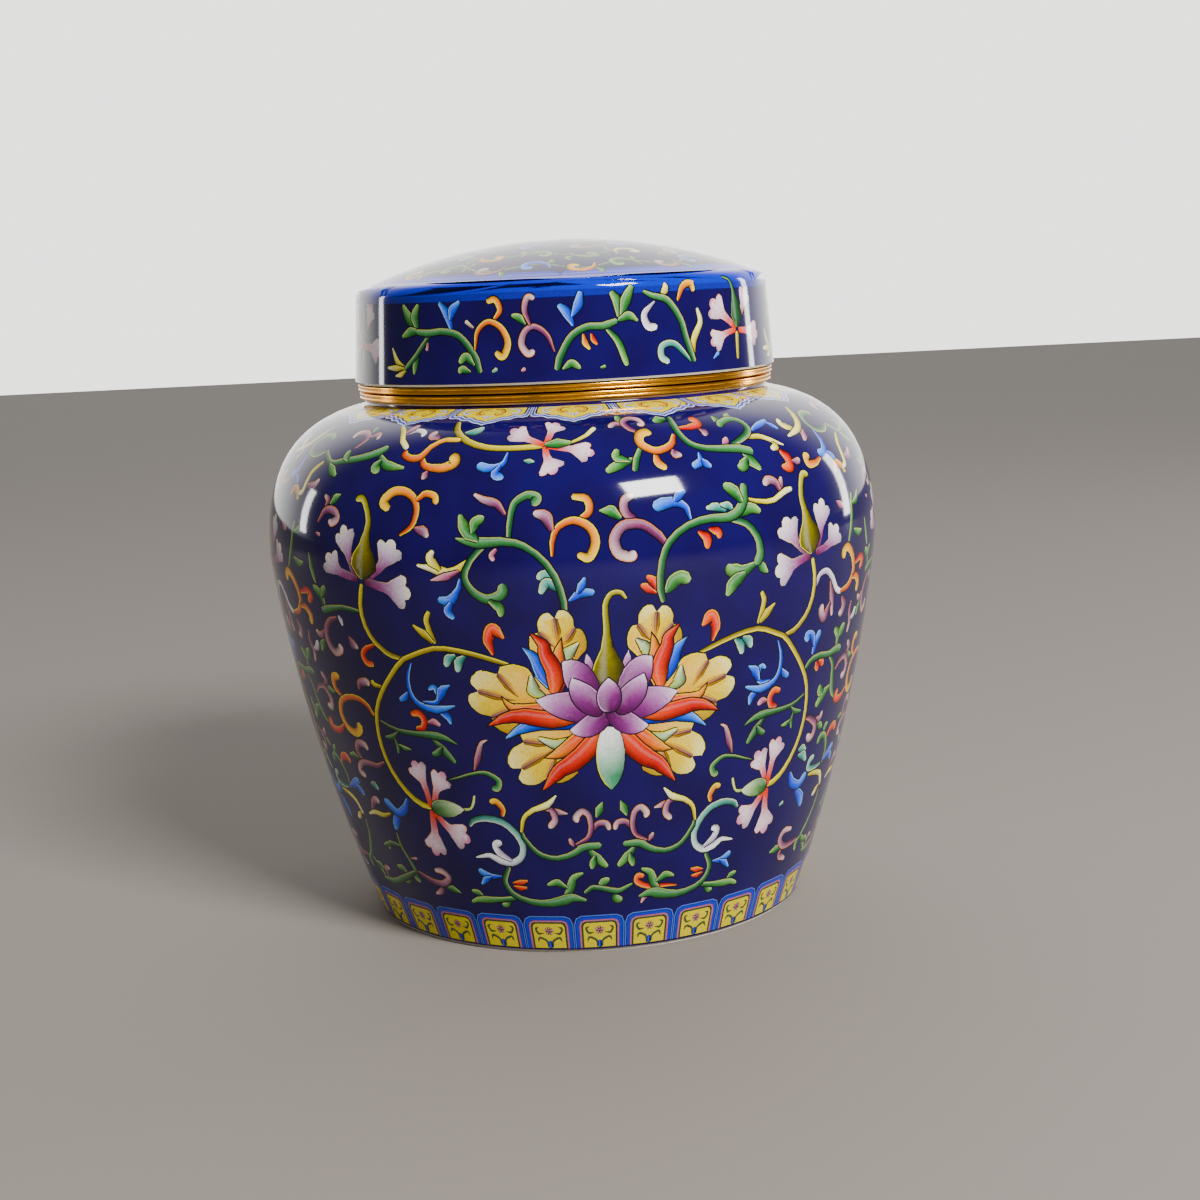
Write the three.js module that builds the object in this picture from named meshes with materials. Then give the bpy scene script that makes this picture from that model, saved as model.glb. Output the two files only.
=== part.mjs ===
// A lidded porcelain jar. The body flares from a foot rim to a full belly and turns in to a
// wide mouth, which carries a gilt brass ring. The drum lid has a low dome and a brass ring
// of its own, whose flange drops into the mouth. Millimetres, +Z up. The origin is the
// middle of the underside.
import * as THREE from "three";

// Every form is turned: this many flats go around each of them.
const FLATS = 64;
// Clearance left between two pieces that touch.
const SEAT_GAP = 0.3;

// Jar body, outside
const FOOT_RADIUS = 55;
const BELLY_RADIUS = 76.8;
const BELLY_HEIGHT = 93;
const SHOULDER_HEIGHT = 128.7;
const NECK_HEIGHT = 1;
// How the outline bends, as shares of the way from the foot to the belly and on to the neck.
const FLARE_OUT = 0.775;
const FLARE_UP = 0.506;
const BELLY_BELOW = 0.05;
const BELLY_ABOVE = 0.314;
const SHOULDER_OUT = 0.949;
const SHOULDER_DROP = 0.118;
const FLARE_STEPS = 9;
const SHOULDER_STEPS = 8;
const INNER_STEPS = 5;

// Jar body, inside and underneath
const BODY_WALL = 4;
const FLOOR_THICKNESS = 5;
const MOUTH_RADIUS = 45.5;
const NECK_WALL = 5;
const INNER_CORNER = 6;
const MOUTH_CHAMFER = 1;
const FOOT_RIM_HEIGHT = 0.8;
const FOOT_RIM_INSET = 0.5;
const FOOT_RIM_WIDTH = 5;
const FOOT_RECESS = 2.5;

// Brass rings
// Each ring stands out past what carries it, and the lid past its ring.
const MOUTH_RING_OVERHANG = 1.3;
const MOUTH_RING_HEIGHT = 1.7;
const LID_RING_OVERHANG = 0.3;
const LID_RING_HEIGHT = 1.6;
const RING_SHEET = 0.8;
const RING_EASE = 0.3;
const SLEEVE_DEPTH = 4;
const FLANGE_DEPTH = 4;
const FLANGE_CLEARANCE = 0.5;

// Lid
const LID_OVERHANG = 0.6;
const LID_TAPER = 1.3;
const LID_SIDE_HEIGHT = 23.7;
const LID_EDGE_BEVEL = 0.5;
const LID_CORNER = 3.6;
const DOME_RISE = 9.4;
const LID_WALL = 4;
const DOME_STEPS = 6;
const CORNER_STEPS = 3;

// Radii and heights that follow from the sizes above
const neckRadius = MOUTH_RADIUS + NECK_WALL;
const mouthRingRadius = neckRadius + MOUTH_RING_OVERHANG;
const lidRingRadius = mouthRingRadius + LID_RING_OVERHANG;
const lidRadius = lidRingRadius + LID_OVERHANG;
const lidTopRadius = lidRadius - LID_TAPER;
const seatHeight = SHOULDER_HEIGHT + NECK_HEIGHT;
const mouthRingBottom = seatHeight + SEAT_GAP;
const mouthRingTop = mouthRingBottom + MOUTH_RING_HEIGHT;
const lidRingBottom = mouthRingTop + SEAT_GAP;
const lidRingTop = lidRingBottom + LID_RING_HEIGHT;
const lidBottom = lidRingTop + SEAT_GAP;
const sleeveOuter = MOUTH_RADIUS - SEAT_GAP;
const sleeveInner = sleeveOuter - RING_SHEET;
const flangeOuter = sleeveInner - FLANGE_CLEARANCE;
const flangeInner = flangeOuter - RING_SHEET;

function at(radius, height) {
  return new THREE.Vector2(radius, height);
}

// Turns a closed outline, listed anticlockwise with the axis on its left, about +Z.
function turned(name, outline, material) {
  const geometry = new THREE.LatheGeometry(outline, FLATS);
  geometry.rotateX(Math.PI / 2);
  const mesh = new THREE.Mesh(geometry, material);
  mesh.name = name;
  return mesh;
}

// The two curves of the body's outside: foot to belly, and belly to neck.
function bodyCurves() {
  const rise = SHOULDER_HEIGHT - BELLY_HEIGHT;
  const turnIn = BELLY_RADIUS - neckRadius;
  const foot = at(FOOT_RADIUS, 0);
  const belly = at(BELLY_RADIUS, BELLY_HEIGHT);
  const neck = at(neckRadius, SHOULDER_HEIGHT);
  const flare = new THREE.CubicBezierCurve(
    foot,
    at(FOOT_RADIUS + FLARE_OUT * (BELLY_RADIUS - FOOT_RADIUS), FLARE_UP * BELLY_HEIGHT),
    at(BELLY_RADIUS, BELLY_HEIGHT * (1 - BELLY_BELOW)),
    belly
  );
  const shoulder = new THREE.CubicBezierCurve(
    belly,
    at(BELLY_RADIUS, BELLY_HEIGHT + BELLY_ABOVE * rise),
    at(neckRadius + SHOULDER_OUT * turnIn, SHOULDER_HEIGHT - SHOULDER_DROP * rise),
    neck
  );
  return { flare, shoulder };
}

// Points along a curve from its start to its end, moved inwards by a wall where one is given.
function along(curve, steps, wall = 0) {
  const points = [];
  for (let step = 0; step <= steps; step += 1) {
    const share = step / steps;
    const point = curve.getPoint(share);
    const way = curve.getTangent(share);
    points.push(at(point.x - way.y * wall, point.y + way.x * wall));
  }
  return points;
}

// Where the line through two points reaches a height.
function lineAt(upper, lower, height) {
  const share = (height - upper.y) / (lower.y - upper.y);
  return at(upper.x + share * (lower.x - upper.x), height);
}

// A rounded inside or outside corner between two points.
function rounded(start, corner, end, steps) {
  return new THREE.QuadraticBezierCurve(start, corner, end).getPoints(steps);
}

function jarBody(material) {
  const { flare, shoulder } = bodyCurves();
  const outer = [...along(flare, FLARE_STEPS), ...along(shoulder, SHOULDER_STEPS).slice(1)];
  // The foot rim stands a little inside the first point of the glazed outline.
  outer[0] = at(FOOT_RADIUS, FOOT_RIM_HEIGHT);

  const floorTop = FOOT_RECESS + FLOOR_THICKNESS;
  const innerWall = [
    ...along(shoulder, INNER_STEPS, BODY_WALL).reverse(),
    ...along(flare, INNER_STEPS, BODY_WALL).reverse().slice(1)
  ].filter((point) => point.y > floorTop + INNER_CORNER);
  const [above, lowest] = innerWall.slice(-2);
  const wallFoot = lineAt(above, lowest, floorTop + INNER_CORNER);
  const corner = lineAt(above, lowest, floorTop);
  const floorEdge = at(corner.x - INNER_CORNER, floorTop);
  const floorCorner = rounded(wallFoot, corner, floorEdge, CORNER_STEPS);

  const footOuter = FOOT_RADIUS - FOOT_RIM_INSET;
  const footInner = footOuter - FOOT_RIM_WIDTH;
  const underShoulder = innerWall[0].y;
  const outline = [
    at(0, FOOT_RECESS),
    at(footInner - FOOT_RECESS, FOOT_RECESS),
    at(footInner, 0),
    at(footOuter, 0),
    at(footOuter, FOOT_RIM_HEIGHT),
    ...outer,
    at(neckRadius, seatHeight),
    at(MOUTH_RADIUS, seatHeight),
    at(MOUTH_RADIUS, underShoulder + MOUTH_CHAMFER),
    at(MOUTH_RADIUS + MOUTH_CHAMFER, underShoulder),
    ...innerWall,
    ...floorCorner,
    at(0, floorTop)
  ];
  return turned("jar_body", outline, material);
}

// A flat ring with an eased outer edge and a sleeve hanging from its inner edge.
function sleevedRing(name, bottom, top, radius, sleeve, material) {
  const outline = [
    at(sleeve.inner, sleeve.bottom),
    at(sleeve.outer, sleeve.bottom),
    at(sleeve.outer, bottom),
    at(radius - RING_EASE, bottom),
    at(radius, bottom + RING_EASE),
    at(radius, top - RING_EASE),
    at(radius - RING_EASE, top),
    at(sleeve.inner, top),
    at(sleeve.inner, sleeve.bottom)
  ];
  return turned(name, outline, material);
}

function mouthRing(material) {
  const sleeve = {
    inner: sleeveInner,
    outer: sleeveOuter,
    bottom: mouthRingBottom - SLEEVE_DEPTH
  };
  return sleevedRing(
    "mouth_ring", mouthRingBottom, mouthRingTop, mouthRingRadius, sleeve, material
  );
}

function lidRing(material) {
  const flange = {
    inner: flangeInner,
    outer: flangeOuter,
    bottom: lidRingBottom - FLANGE_DEPTH
  };
  return sleevedRing("lid_ring", lidRingBottom, lidRingTop, lidRingRadius, flange, material);
}

// Points of a round dome from its rim to the axis.
function domePoints(rimRadius, rimHeight, rise, steps) {
  const sphere = (rimRadius * rimRadius + rise * rise) / (2 * rise);
  const centre = rimHeight + rise - sphere;
  const edge = Math.asin(rimRadius / sphere);
  const points = [];
  for (let step = 0; step <= steps; step += 1) {
    const angle = edge * (1 - step / steps);
    points.push(at(sphere * Math.sin(angle), centre + sphere * Math.cos(angle)));
  }
  return points;
}

// The lid's rounded top edge from its side onto a dome whose rim is given.
function lidCorner(sideRadius, cornerHeight, dome, size) {
  return rounded(
    at(sideRadius, cornerHeight - size), at(sideRadius, cornerHeight), dome[0], CORNER_STEPS
  ).slice(0, -1);
}

function lid(material) {
  const cornerHeight = lidBottom + LID_SIDE_HEIGHT;
  const dome = domePoints(lidTopRadius - LID_CORNER, cornerHeight, DOME_RISE, DOME_STEPS);
  const corner = lidCorner(lidTopRadius, cornerHeight, dome, LID_CORNER);

  const hollowTop = cornerHeight - LID_WALL;
  const hollow = domePoints(
    lidTopRadius - LID_WALL - LID_CORNER, hollowTop, DOME_RISE, DOME_STEPS
  );
  const hollowCorner = lidCorner(lidTopRadius - LID_WALL, hollowTop, hollow, LID_CORNER);
  const outline = [
    at(lidRadius - LID_WALL, lidBottom),
    at(lidRadius - LID_EDGE_BEVEL, lidBottom),
    at(lidRadius, lidBottom + LID_EDGE_BEVEL),
    ...corner,
    ...dome,
    ...[...hollowCorner, ...hollow].reverse(),
    at(lidRadius - LID_WALL, lidBottom)
  ];
  return turned("lid", outline, material);
}

const cobaltPorcelain = new THREE.MeshStandardMaterial({
  color: 0x17157a,
  roughness: 0.08,
  metalness: 0
});
const giltBrass = new THREE.MeshStandardMaterial({
  color: 0xc3771f,
  roughness: 0.25,
  metalness: 1
});

const jar = new THREE.Group();
jar.add(jarBody(cobaltPorcelain));
jar.add(mouthRing(giltBrass));
jar.add(lidRing(giltBrass));
jar.add(lid(cobaltPorcelain));

export default jar;
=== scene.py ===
"""Dresses the lidded porcelain jar: cobalt ground, enamel lotus scroll, gilt brass rings.

The enamel painting is colour in the jar's own glaze. Each brush stroke is cut into the skin
of the piece as triangles that carry the stroke's colours, so nothing of it is raised.
"""
import logging
import math
from collections.abc import Callable
from dataclasses import dataclass
from enum import Enum
from functools import partial

import bmesh
import bpy
import numpy as np
from mathutils import Matrix, Vector
from mathutils.bvhtree import BVHTree
from mathutils.geometry import delaunay_2d_cdt


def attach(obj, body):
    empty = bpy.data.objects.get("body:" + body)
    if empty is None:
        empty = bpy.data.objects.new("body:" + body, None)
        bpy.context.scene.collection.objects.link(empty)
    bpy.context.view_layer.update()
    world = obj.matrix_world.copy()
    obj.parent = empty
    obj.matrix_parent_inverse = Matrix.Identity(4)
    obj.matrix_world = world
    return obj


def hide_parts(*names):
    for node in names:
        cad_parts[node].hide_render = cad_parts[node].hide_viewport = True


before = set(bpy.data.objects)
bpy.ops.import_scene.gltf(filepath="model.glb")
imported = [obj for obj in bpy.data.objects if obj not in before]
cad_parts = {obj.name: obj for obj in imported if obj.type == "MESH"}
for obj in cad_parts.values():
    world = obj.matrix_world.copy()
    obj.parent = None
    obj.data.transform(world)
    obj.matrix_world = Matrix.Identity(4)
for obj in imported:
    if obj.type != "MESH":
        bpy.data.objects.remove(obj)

log = logging.getLogger("lidded_jar")

MM = 0.001
# The body and the lid's side are painted with this many repeats.
REPEATS = 3
TILE_TURN = 360 / REPEATS
# Flats around every turned form.
SEGMENTS = 180
TILE_SEGMENTS = SEGMENTS // REPEATS
# Where the scroll's repeat begins, and the axis of the lotus that faces the viewer.
SEAM_ANGLE = -55.1
LOTUS_ANGLE = 4.9
# The right half of the scroll stands a little narrower than the left.
LEAN = 2.0
# Distance in mm between the points of a stroke, and between those of the bare ground.
BRUSH_STEP = 0.4
GRID_STEP = 3.0
# The enamel spreads a little past the brush as it melts in the kiln.
FULLNESS = 1.15
# A straight stretch of a stroke has a point after this many mm.
STRAIGHT = 3.0
# Corners nearer to each other than this are one: in mm where a skin meets the rest of its
# piece, in metres where a spin closes, and in mm while a canvas is cut.
WELD_MM = 0.02
SPIN_WELD = 2e-6
CUT_MM = 1e-5
# A stroke's round ends have points at these shares of its half width, and none are nearer
# to each other than this many mm.
END_SHARES = (0.12, 0.45)
MARK_GAP = 0.12
# The dark line takes at most this share of a stroke's half width.
LINE_SHARE = 0.3
# A petal is drawn on rings at these shares of the way from its middle to its edge, and
# thinned at the size of a usual petal.
PETAL_RINGS = (1.0, 0.82, 0.4)
PETAL_MM = 8.0
# Lobes of a ruffled petal.
LOBES = 4
# Edges that turn by more than this many degrees stay sharp.
SHARP_DEGREES = 35
# The light falls on a stroke from this side.
LIT_SIDE = (-0.6, 0.8)
# Copies of a stroke that lie further than this many mm outside a repeat are left out.
SEAM_REACH = 4.0
# Degrees from one cloud of the collar to the next, and from one lappet of the foot.
CLOUD_PITCH = 20.0
LAPPET_PITCH = 12.0
# Rounds in which the folds left by welding are looked for.
SEAL_ROUNDS = 6

Points = list[tuple[float, float]]


def linear(code: str) -> tuple[float, float, float]:
    """Turns an sRGB hex colour into linear red, green and blue.

    Args:
        code: Six hex digits after a hash sign.

    Returns:
        The three linear channels.
    """
    channels = [int(code[place:place + 2], 16) / 255 for place in (1, 3, 5)]
    return tuple(c / 12.92 if c <= 0.04045 else ((c + 0.055) / 1.055) ** 2.4 for c in channels)


@dataclass(frozen=True)
class Enamel:
    """One enamel as a brush lays it: colours from root to tip, and its edges."""

    stops: tuple[str, ...]
    rim: str = "#d8d090"
    line_mm: float = 0.26

    def along(self, shares: np.ndarray) -> np.ndarray:
        """Gives the linear colour at each share of the way from root to tip.

        Args:
            shares: Places between 0 and 1.

        Returns:
            One colour for each place.
        """
        stops = np.array([linear(code) for code in self.stops])
        places = np.linspace(0, 1, len(stops))
        return np.stack([np.interp(shares, places, stops[:, i]) for i in range(3)], axis=-1)


def flat(code: str, line_mm: float) -> Enamel:
    """Gives an enamel of one colour throughout."""
    return Enamel((code,), code, line_mm)


class Ink(Enum):
    """The enamels on the jar."""

    VINE = Enamel(("#2c6a3c", "#357840", "#4f9454"), rim="#b8c070")
    LEAF = Enamel(("#2f7038", "#3f8a40", "#7cb45c"), rim="#c8d878")
    DEEP_LEAF = Enamel(("#1f5430", "#2c6c38", "#4c8c4c"), rim="#90a860")
    POD = Enamel(("#2c5c2c", "#4c8040", "#a8c88c", "#e8ecd0"), rim="#c0cc80")
    OCHRE = Enamel(("#988800", "#c4b000", "#e0d000"), rim="#fff030")
    BULB = Enamel(("#4c4800", "#8c8400", "#a09810", "#b8b030"), rim="#f4ee60")
    ORANGE = Enamel(("#d05000", "#ec7000", "#fc9c00", "#ffd400"), rim="#ffee10")
    RED = Enamel(("#c81400", "#e82400", "#f86c00"), rim="#ffc020")
    SCARLET = Enamel(("#f06400", "#e42c00", "#d01000", "#e43000"), rim="#f88000", line_mm=0.3)
    EMBER = Enamel(("#d82000", "#f06000", "#fca800"), rim="#ffcc00", line_mm=0.3)
    RUFFLE = Enamel(("#d84000", "#e88800", "#f0ac00", "#f0c400", "#f0d028", "#fff4a0"),
                    rim="#fff000", line_mm=0.3)
    SOFT_CREASE = Enamel(("#c8a058", "#e0b030", "#fcc400"), rim="#e0b838", line_mm=0.02)
    CREASE = Enamel(("#7c4450", "#a87040", "#e8a018"), rim="#a87048", line_mm=0.02)
    LOTUS = Enamel(("#541048", "#74206c", "#903c88", "#bc7cb8", "#f8e8f6"), rim="#e4a8e0",
                   line_mm=0.3)
    # The paler cobalt of the lid's upper edge is partly a paler glaze there and partly painted light from
    # above, with a painted reflection of the room.
    PALE_COBALT_AND_SHEEN = flat("#0a2cc0", 0.02)
    DEEP_COBALT_AND_SHEEN = flat("#0c1c98", 0.02)
    MAUVE = Enamel(("#74305c", "#8c4872", "#ac7c94", "#ecd0cc"), rim="#e09468")
    PINK = Enamel(("#983c68", "#bc6c90", "#e8b0bc"), rim="#e8b0a0")
    BLOSSOM = Enamel(("#e83800", "#e04818", "#d87c80", "#e4c4d4", "#f0dce4", "#d070a0"),
                     rim="#e8a070", line_mm=0.22)
    VIOLET = Enamel(("#641048", "#803068", "#984c84", "#b488b0", "#e0d0e2", "#f8f4dc"),
                    rim="#f0dc90", line_mm=0.22)
    BLUE = Enamel(("#0c34d0", "#1c58f0", "#58a0ff"), rim="#98ccff")
    TEAL = Enamel(("#247c70", "#4ca494", "#a8dcc4"), rim="#d8e8a8")
    PEARL = Enamel(("#b4a0c0", "#dcd0e4", "#ffffff"), rim="#ffffff")
    TEAL_PEARL = Enamel(("#3c806c", "#54a494", "#8cc4b8", "#e8e8f4", "#f8f4fc"), rim="#e0e8d0")
    CREAM = Enamel(("#b0a000", "#e4d030", "#fcf490", "#fffce0"), rim="#fff848")
    SEPAL = Enamel(("#8cb044", "#acc888", "#e8f0c8"), rim="#e0e020")
    DROP = Enamel(("#ffffff", "#f0f8ec", "#98ccac", "#3c9468", "#64ac80"), rim="#f0e800",
                  line_mm=0.32)
    LAPPET_BLUE = flat("#1c38c0", 0.2)
    LAPPET_SKY = flat("#5c80e0", 0.1)
    LAPPET_PINK = flat("#b87088", 0.1)
    LAPPET_YELLOW = flat("#dccc00", 0.25)
    LAPPET_DARK = flat("#3c5020", 0.05)
    CLOUD_WHITE = Enamel(("#c8d4f4",), rim="#f0f4ff", line_mm=0.1)
    CLOUD_BLUE = flat("#3850bc", 0.05)
    CLOUD_YELLOW = flat("#e4d000", 0.2)
    CLOUD_AMBER = Enamel(("#c88c00", "#d8a410"), rim="#e8c040", line_mm=0.1)


class Side(Enum):
    """On which sides of the lotus axis a stroke goes."""

    LEFT = 1
    BOTH = 2


def pairs(course: tuple[float, ...]) -> Points:
    """Takes a row of numbers two by two, as places."""
    return list(zip(course[::2], course[1::2]))


def in_mm(points: Points, mm_per_degree: float) -> Points:
    """Turns degrees from the front into mm along a canvas."""
    return [(turn * mm_per_degree, rise) for turn, rise in points]


def lit_side(aside: np.ndarray) -> float:
    """Gives 1 where the left edge of a stroke is the lit one, and -1 where the right is."""
    return 1.0 if float((aside * LIT_SIDE).sum()) >= 0 else -1.0


def smooth(points: Points, closed: bool = False, step: float = BRUSH_STEP) -> np.ndarray:
    """Draws a smooth line through a few points.

    Args:
        points: The places that the line goes through.
        closed: True where the line returns to its start.
        step: Longest distance between the new points.

    Returns:
        Points along the line.
    """
    knots = np.array(points, float)
    if closed:
        knots = np.vstack([knots[-1:], knots, knots[:2]])
    else:
        first = 2 * knots[0] - knots[1]
        last = 2 * knots[-1] - knots[-2]
        knots = np.vstack([first, knots, last])
    pieces = []
    for i in range(1, len(knots) - 2):
        before, start, end, after = knots[i - 1:i + 3]
        steps = max(2, math.ceil(np.linalg.norm(end - start) / step))
        t = (np.arange(steps) / steps)[:, None]
        pull = end - before
        push = after - start
        pieces.append(
            start + 0.5 * t * pull
            + t ** 2 * (-3 * start + 3 * end - pull - 0.5 * push)
            + t ** 3 * (2 * start - 2 * end + 0.5 * pull + 0.5 * push)
        )
    if not closed:
        pieces.append(knots[-2:-1])
    return np.vstack(pieces)


def thinned(line: np.ndarray, bend: float, closed: bool = False) -> np.ndarray:
    """Leaves out points where a line runs nearly straight.

    Args:
        line: Points in mm.
        bend: The turn in radians after which a point is kept.
        closed: True where the line returns to its start.

    Returns:
        The points that remain.
    """
    following = np.roll(line, -1, axis=0) if closed else np.vstack([line[1:], line[-1:]])
    way = following - line
    heading = np.unwrap(np.arctan2(way[:, 1], way[:, 0]))
    kept, last = [0], 0
    end = len(line) if closed else len(line) - 1
    for number in range(1, end):
        turn = abs(heading[number] - heading[last])
        if turn > bend or np.hypot(*(line[number] - line[last])) > STRAIGHT:
            kept.append(number)
            last = number
    if not closed:
        kept.append(len(line) - 1)
    return line[kept]


def scalloped() -> Points:
    """Draws a petal that opens into a fan with a scalloped edge, 1 long and 1 wide.

    Returns:
        Places around the petal, from its root along one side and back along the other.
    """
    fan = [fan_place(step / (6 * LOBES), 0.8 + 0.22 * abs(math.sin(math.pi * step / 6)) ** 0.6)
           for step in range(6 * LOBES + 1)]
    return [(0.0, -0.09), (0.2, -0.14), *fan, (0.2, 0.14), (0.0, 0.09)]


def fan_place(share: float, reach: float) -> tuple[float, float]:
    """Gives a place in the fan of a scalloped petal.

    Args:
        share: 0 to 1 around the fan, from one side to the other.
        reach: 0 at the fan's heart and 1 at its edge.

    Returns:
        The place, as shares of the petal's length and width.
    """
    angle = math.radians(100) * (2 * share - 1)
    return (0.52 + 0.48 * reach * math.cos(angle), 0.5 * reach * math.sin(angle))


class Cut(Enum):
    """The outlines of petals, each 1 long and 1 wide, with its root at the origin."""

    DROP = ((0.0, -0.2), (0.14, -0.4), (0.38, -0.5), (0.62, -0.47), (0.82, -0.32), (0.94, -0.14),
            (1.0, 0.0), (0.94, 0.14), (0.82, 0.32), (0.62, 0.47), (0.38, 0.5), (0.14, 0.4),
            (0.0, 0.2))
    FLARE = ((0.0, -0.1), (0.3, -0.13), (0.52, -0.2), (0.68, -0.38), (0.8, -0.5), (0.9, -0.46),
             (0.92, -0.3), (0.9, -0.22), (0.98, -0.16), (1.02, 0.0), (0.98, 0.16), (0.9, 0.22),
             (0.92, 0.3), (0.9, 0.46), (0.8, 0.5), (0.68, 0.38), (0.52, 0.2), (0.3, 0.13),
             (0.0, 0.1))
    FRILL = tuple(scalloped())


class Canvas:
    """A flat piece of the glaze on which strokes are laid, each over those before it."""

    def __init__(self, wrap: float = 0.0, start: float = 0.0, bend: float = 0.12) -> None:
        """Starts an empty canvas.

        Args:
            wrap: Width in mm after which the pattern repeats, or 0 where it doesn't.
            start: Left edge in mm.
            bend: Turn in radians between neighbouring points of a stroke's edge.
        """
        self.bend = bend
        self.wrap = wrap
        self.start = start
        self.places: list[np.ndarray] = []
        self.looks: list[np.ndarray] = []
        self.faces: list[np.ndarray] = []
        self.edges: list[np.ndarray] = []
        self.count = 0

    def lay(self, places: np.ndarray, looks: np.ndarray, faces: np.ndarray,
            edges: np.ndarray) -> None:
        """Adds triangles, with copies over the canvas's own seam where they reach it.

        Args:
            places: Corner places in mm.
            looks: Colour, rim colour, edge and across for each corner.
            faces: Corner numbers of each triangle.
            edges: Corner numbers of the lines that the cut skin has to follow.
        """
        low = places[:, 0].min()
        high = places[:, 0].max()
        for shift in (0.0,) if not self.wrap else (-self.wrap, 0.0, self.wrap):
            if self.wrap and (high + shift < self.start - SEAM_REACH
                              or low + shift > self.start + self.wrap + SEAM_REACH):
                continue
            self.places.append(places + (shift, 0.0))
            self.looks.append(looks)
            self.faces.append(faces + self.count)
            self.edges.append(edges + self.count)
            self.count += len(places)

    def stroke(self, ink: Ink, points: Points, half: tuple[float, ...]) -> None:
        """Lays one brush stroke with rounded ends.

        Args:
            ink: The enamel.
            points: Places in mm from its root to its tip.
            half: Half widths in mm, spaced evenly from root to tip.
        """
        spine = thinned(smooth(points), self.bend)
        run = np.concatenate([[0], np.cumsum(np.linalg.norm(np.diff(spine, axis=0), axis=1))])
        length = run[-1]
        ends = [share * half[0] for share in END_SHARES]
        ends += [length - share * half[-1] for share in END_SHARES]
        ends += (np.linspace(0, 1, len(half)) * length).tolist()
        marks = np.unique(np.concatenate([run, [m for m in ends if 0 < m < length]]))
        marks = marks[np.concatenate([[True], np.diff(marks) > MARK_GAP])]
        marks[-1] = length
        spine = np.stack([np.interp(marks, run, spine[:, i]) for i in (0, 1)], axis=-1)
        shares = marks / length
        width = FULLNESS * np.interp(shares, np.linspace(0, 1, len(half)), half)
        for gap in (marks, length - marks):
            reach = np.clip(1 - gap / np.maximum(width, 0.01), 0, 1)
            width = np.minimum(width, width * np.sqrt(1 - reach ** 2) + 0.004)
        way = np.gradient(spine, axis=0)
        way /= np.linalg.norm(way, axis=1)[:, None]
        aside = np.stack([-way[:, 1], way[:, 0]], axis=-1)
        lit = lit_side(aside)
        line = np.minimum(ink.value.line_mm, LINE_SHARE * max(half))
        tint = np.hstack([ink.value.along(shares), ink.value.along(shares * 0)])
        tint[:, 3:] = linear(ink.value.rim)
        places, looks = [], []
        for across in (-1.0, 0.0, 1.0):
            places.append(spine + aside * (width * across)[:, None])
            edge = (width / line) * (1 - abs(across))
            looks.append(np.column_stack([tint, edge, np.full(len(edge), -across * lit)]))
        rows = np.arange(len(spine) - 1) * 3
        quads = [(0, 3, 1), (1, 3, 4), (1, 4, 2), (2, 4, 5)]
        faces = np.vstack([rows[:, None] + quad for quad in quads])
        order = np.argsort(np.tile(rows, len(quads)), kind="stable")
        lines = np.vstack([rows[:, None] + pair for pair in ((0, 3), (1, 4), (2, 5))])
        self.lay(
            np.stack(places, axis=1).reshape(-1, 2),
            np.stack(looks, axis=1).reshape(-1, 8),
            faces[order],
            lines,
        )

    def petal(self, ink: Ink, shape: Cut, width: float, spine: Points) -> None:
        """Lays a petal of a given outline along a bent middle line.

        Args:
            ink: The enamel.
            shape: Its outline.
            width: Its greatest width in mm.
            spine: Its root, a place that it bends towards, and its tip, in mm.
        """
        outline = smooth(list(shape.value), closed=True, step=0.05)
        outline = thinned(outline * PETAL_MM, self.bend, closed=True) / PETAL_MM
        middle = np.array([0.62, 0.0])
        rings, looks = [], []
        line = ink.value.line_mm
        for share in PETAL_RINGS:
            unit = middle + share * (outline - middle)
            along = unit[:, :1]
            spot, aside = self.bent(spine, along)
            rings.append(spot + aside * unit[:, 1:] * width)
            edge = np.linalg.norm(rings[-1] - rings[0], axis=1) / line
            lit = lit_side(aside)
            tint = ink.value.along(np.clip(along[:, 0], 0, 1))
            rim = np.tile(linear(ink.value.rim), (len(tint), 1))
            looks.append(np.column_stack([tint, rim, edge, -lit * unit[:, 1] * 1.2]))
        heart = rings[-1].mean(axis=0)
        rings.append(heart[None, :])
        looks.append(looks[-1].mean(axis=0, keepdims=True))
        count = len(outline)
        number = np.arange(count)
        following = np.roll(number, -1)
        faces, edges = [], []
        for ring in range(2):
            outer, inner = ring * count, (ring + 1) * count
            faces.append(np.column_stack([number + outer, following + outer, number + inner]))
            faces.append(np.column_stack([following + outer, following + inner, number + inner]))
            edges.append(np.column_stack([number + outer, following + outer]))
        edges.append(np.column_stack([number + 2 * count, following + 2 * count]))
        hub = np.full(count, 3 * count)
        faces.append(np.column_stack([number + 2 * count, following + 2 * count, hub]))
        self.lay(np.vstack(rings), np.vstack(looks), np.vstack(faces), np.vstack(edges))

    @staticmethod
    def bent(spine: Points, along: np.ndarray) -> tuple[np.ndarray, np.ndarray]:
        """Follows a petal's middle line.

        Args:
            spine: Its root, a place that it bends towards, and its tip.
            along: A column of shares from 0 at the root to 1 at the tip.

        Returns:
            The places, and the ways to the left of the line there.
        """
        start, bend, end = (np.array(place, float) for place in spine)
        spot = (1 - along) ** 2 * start + 2 * along * (1 - along) * bend + along ** 2 * end
        way = 2 * (1 - along) * (bend - start) + 2 * along * (end - bend)
        way /= np.linalg.norm(way, axis=1)[:, None]
        return spot, np.column_stack([-way[:, 1], way[:, 0]])

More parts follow.
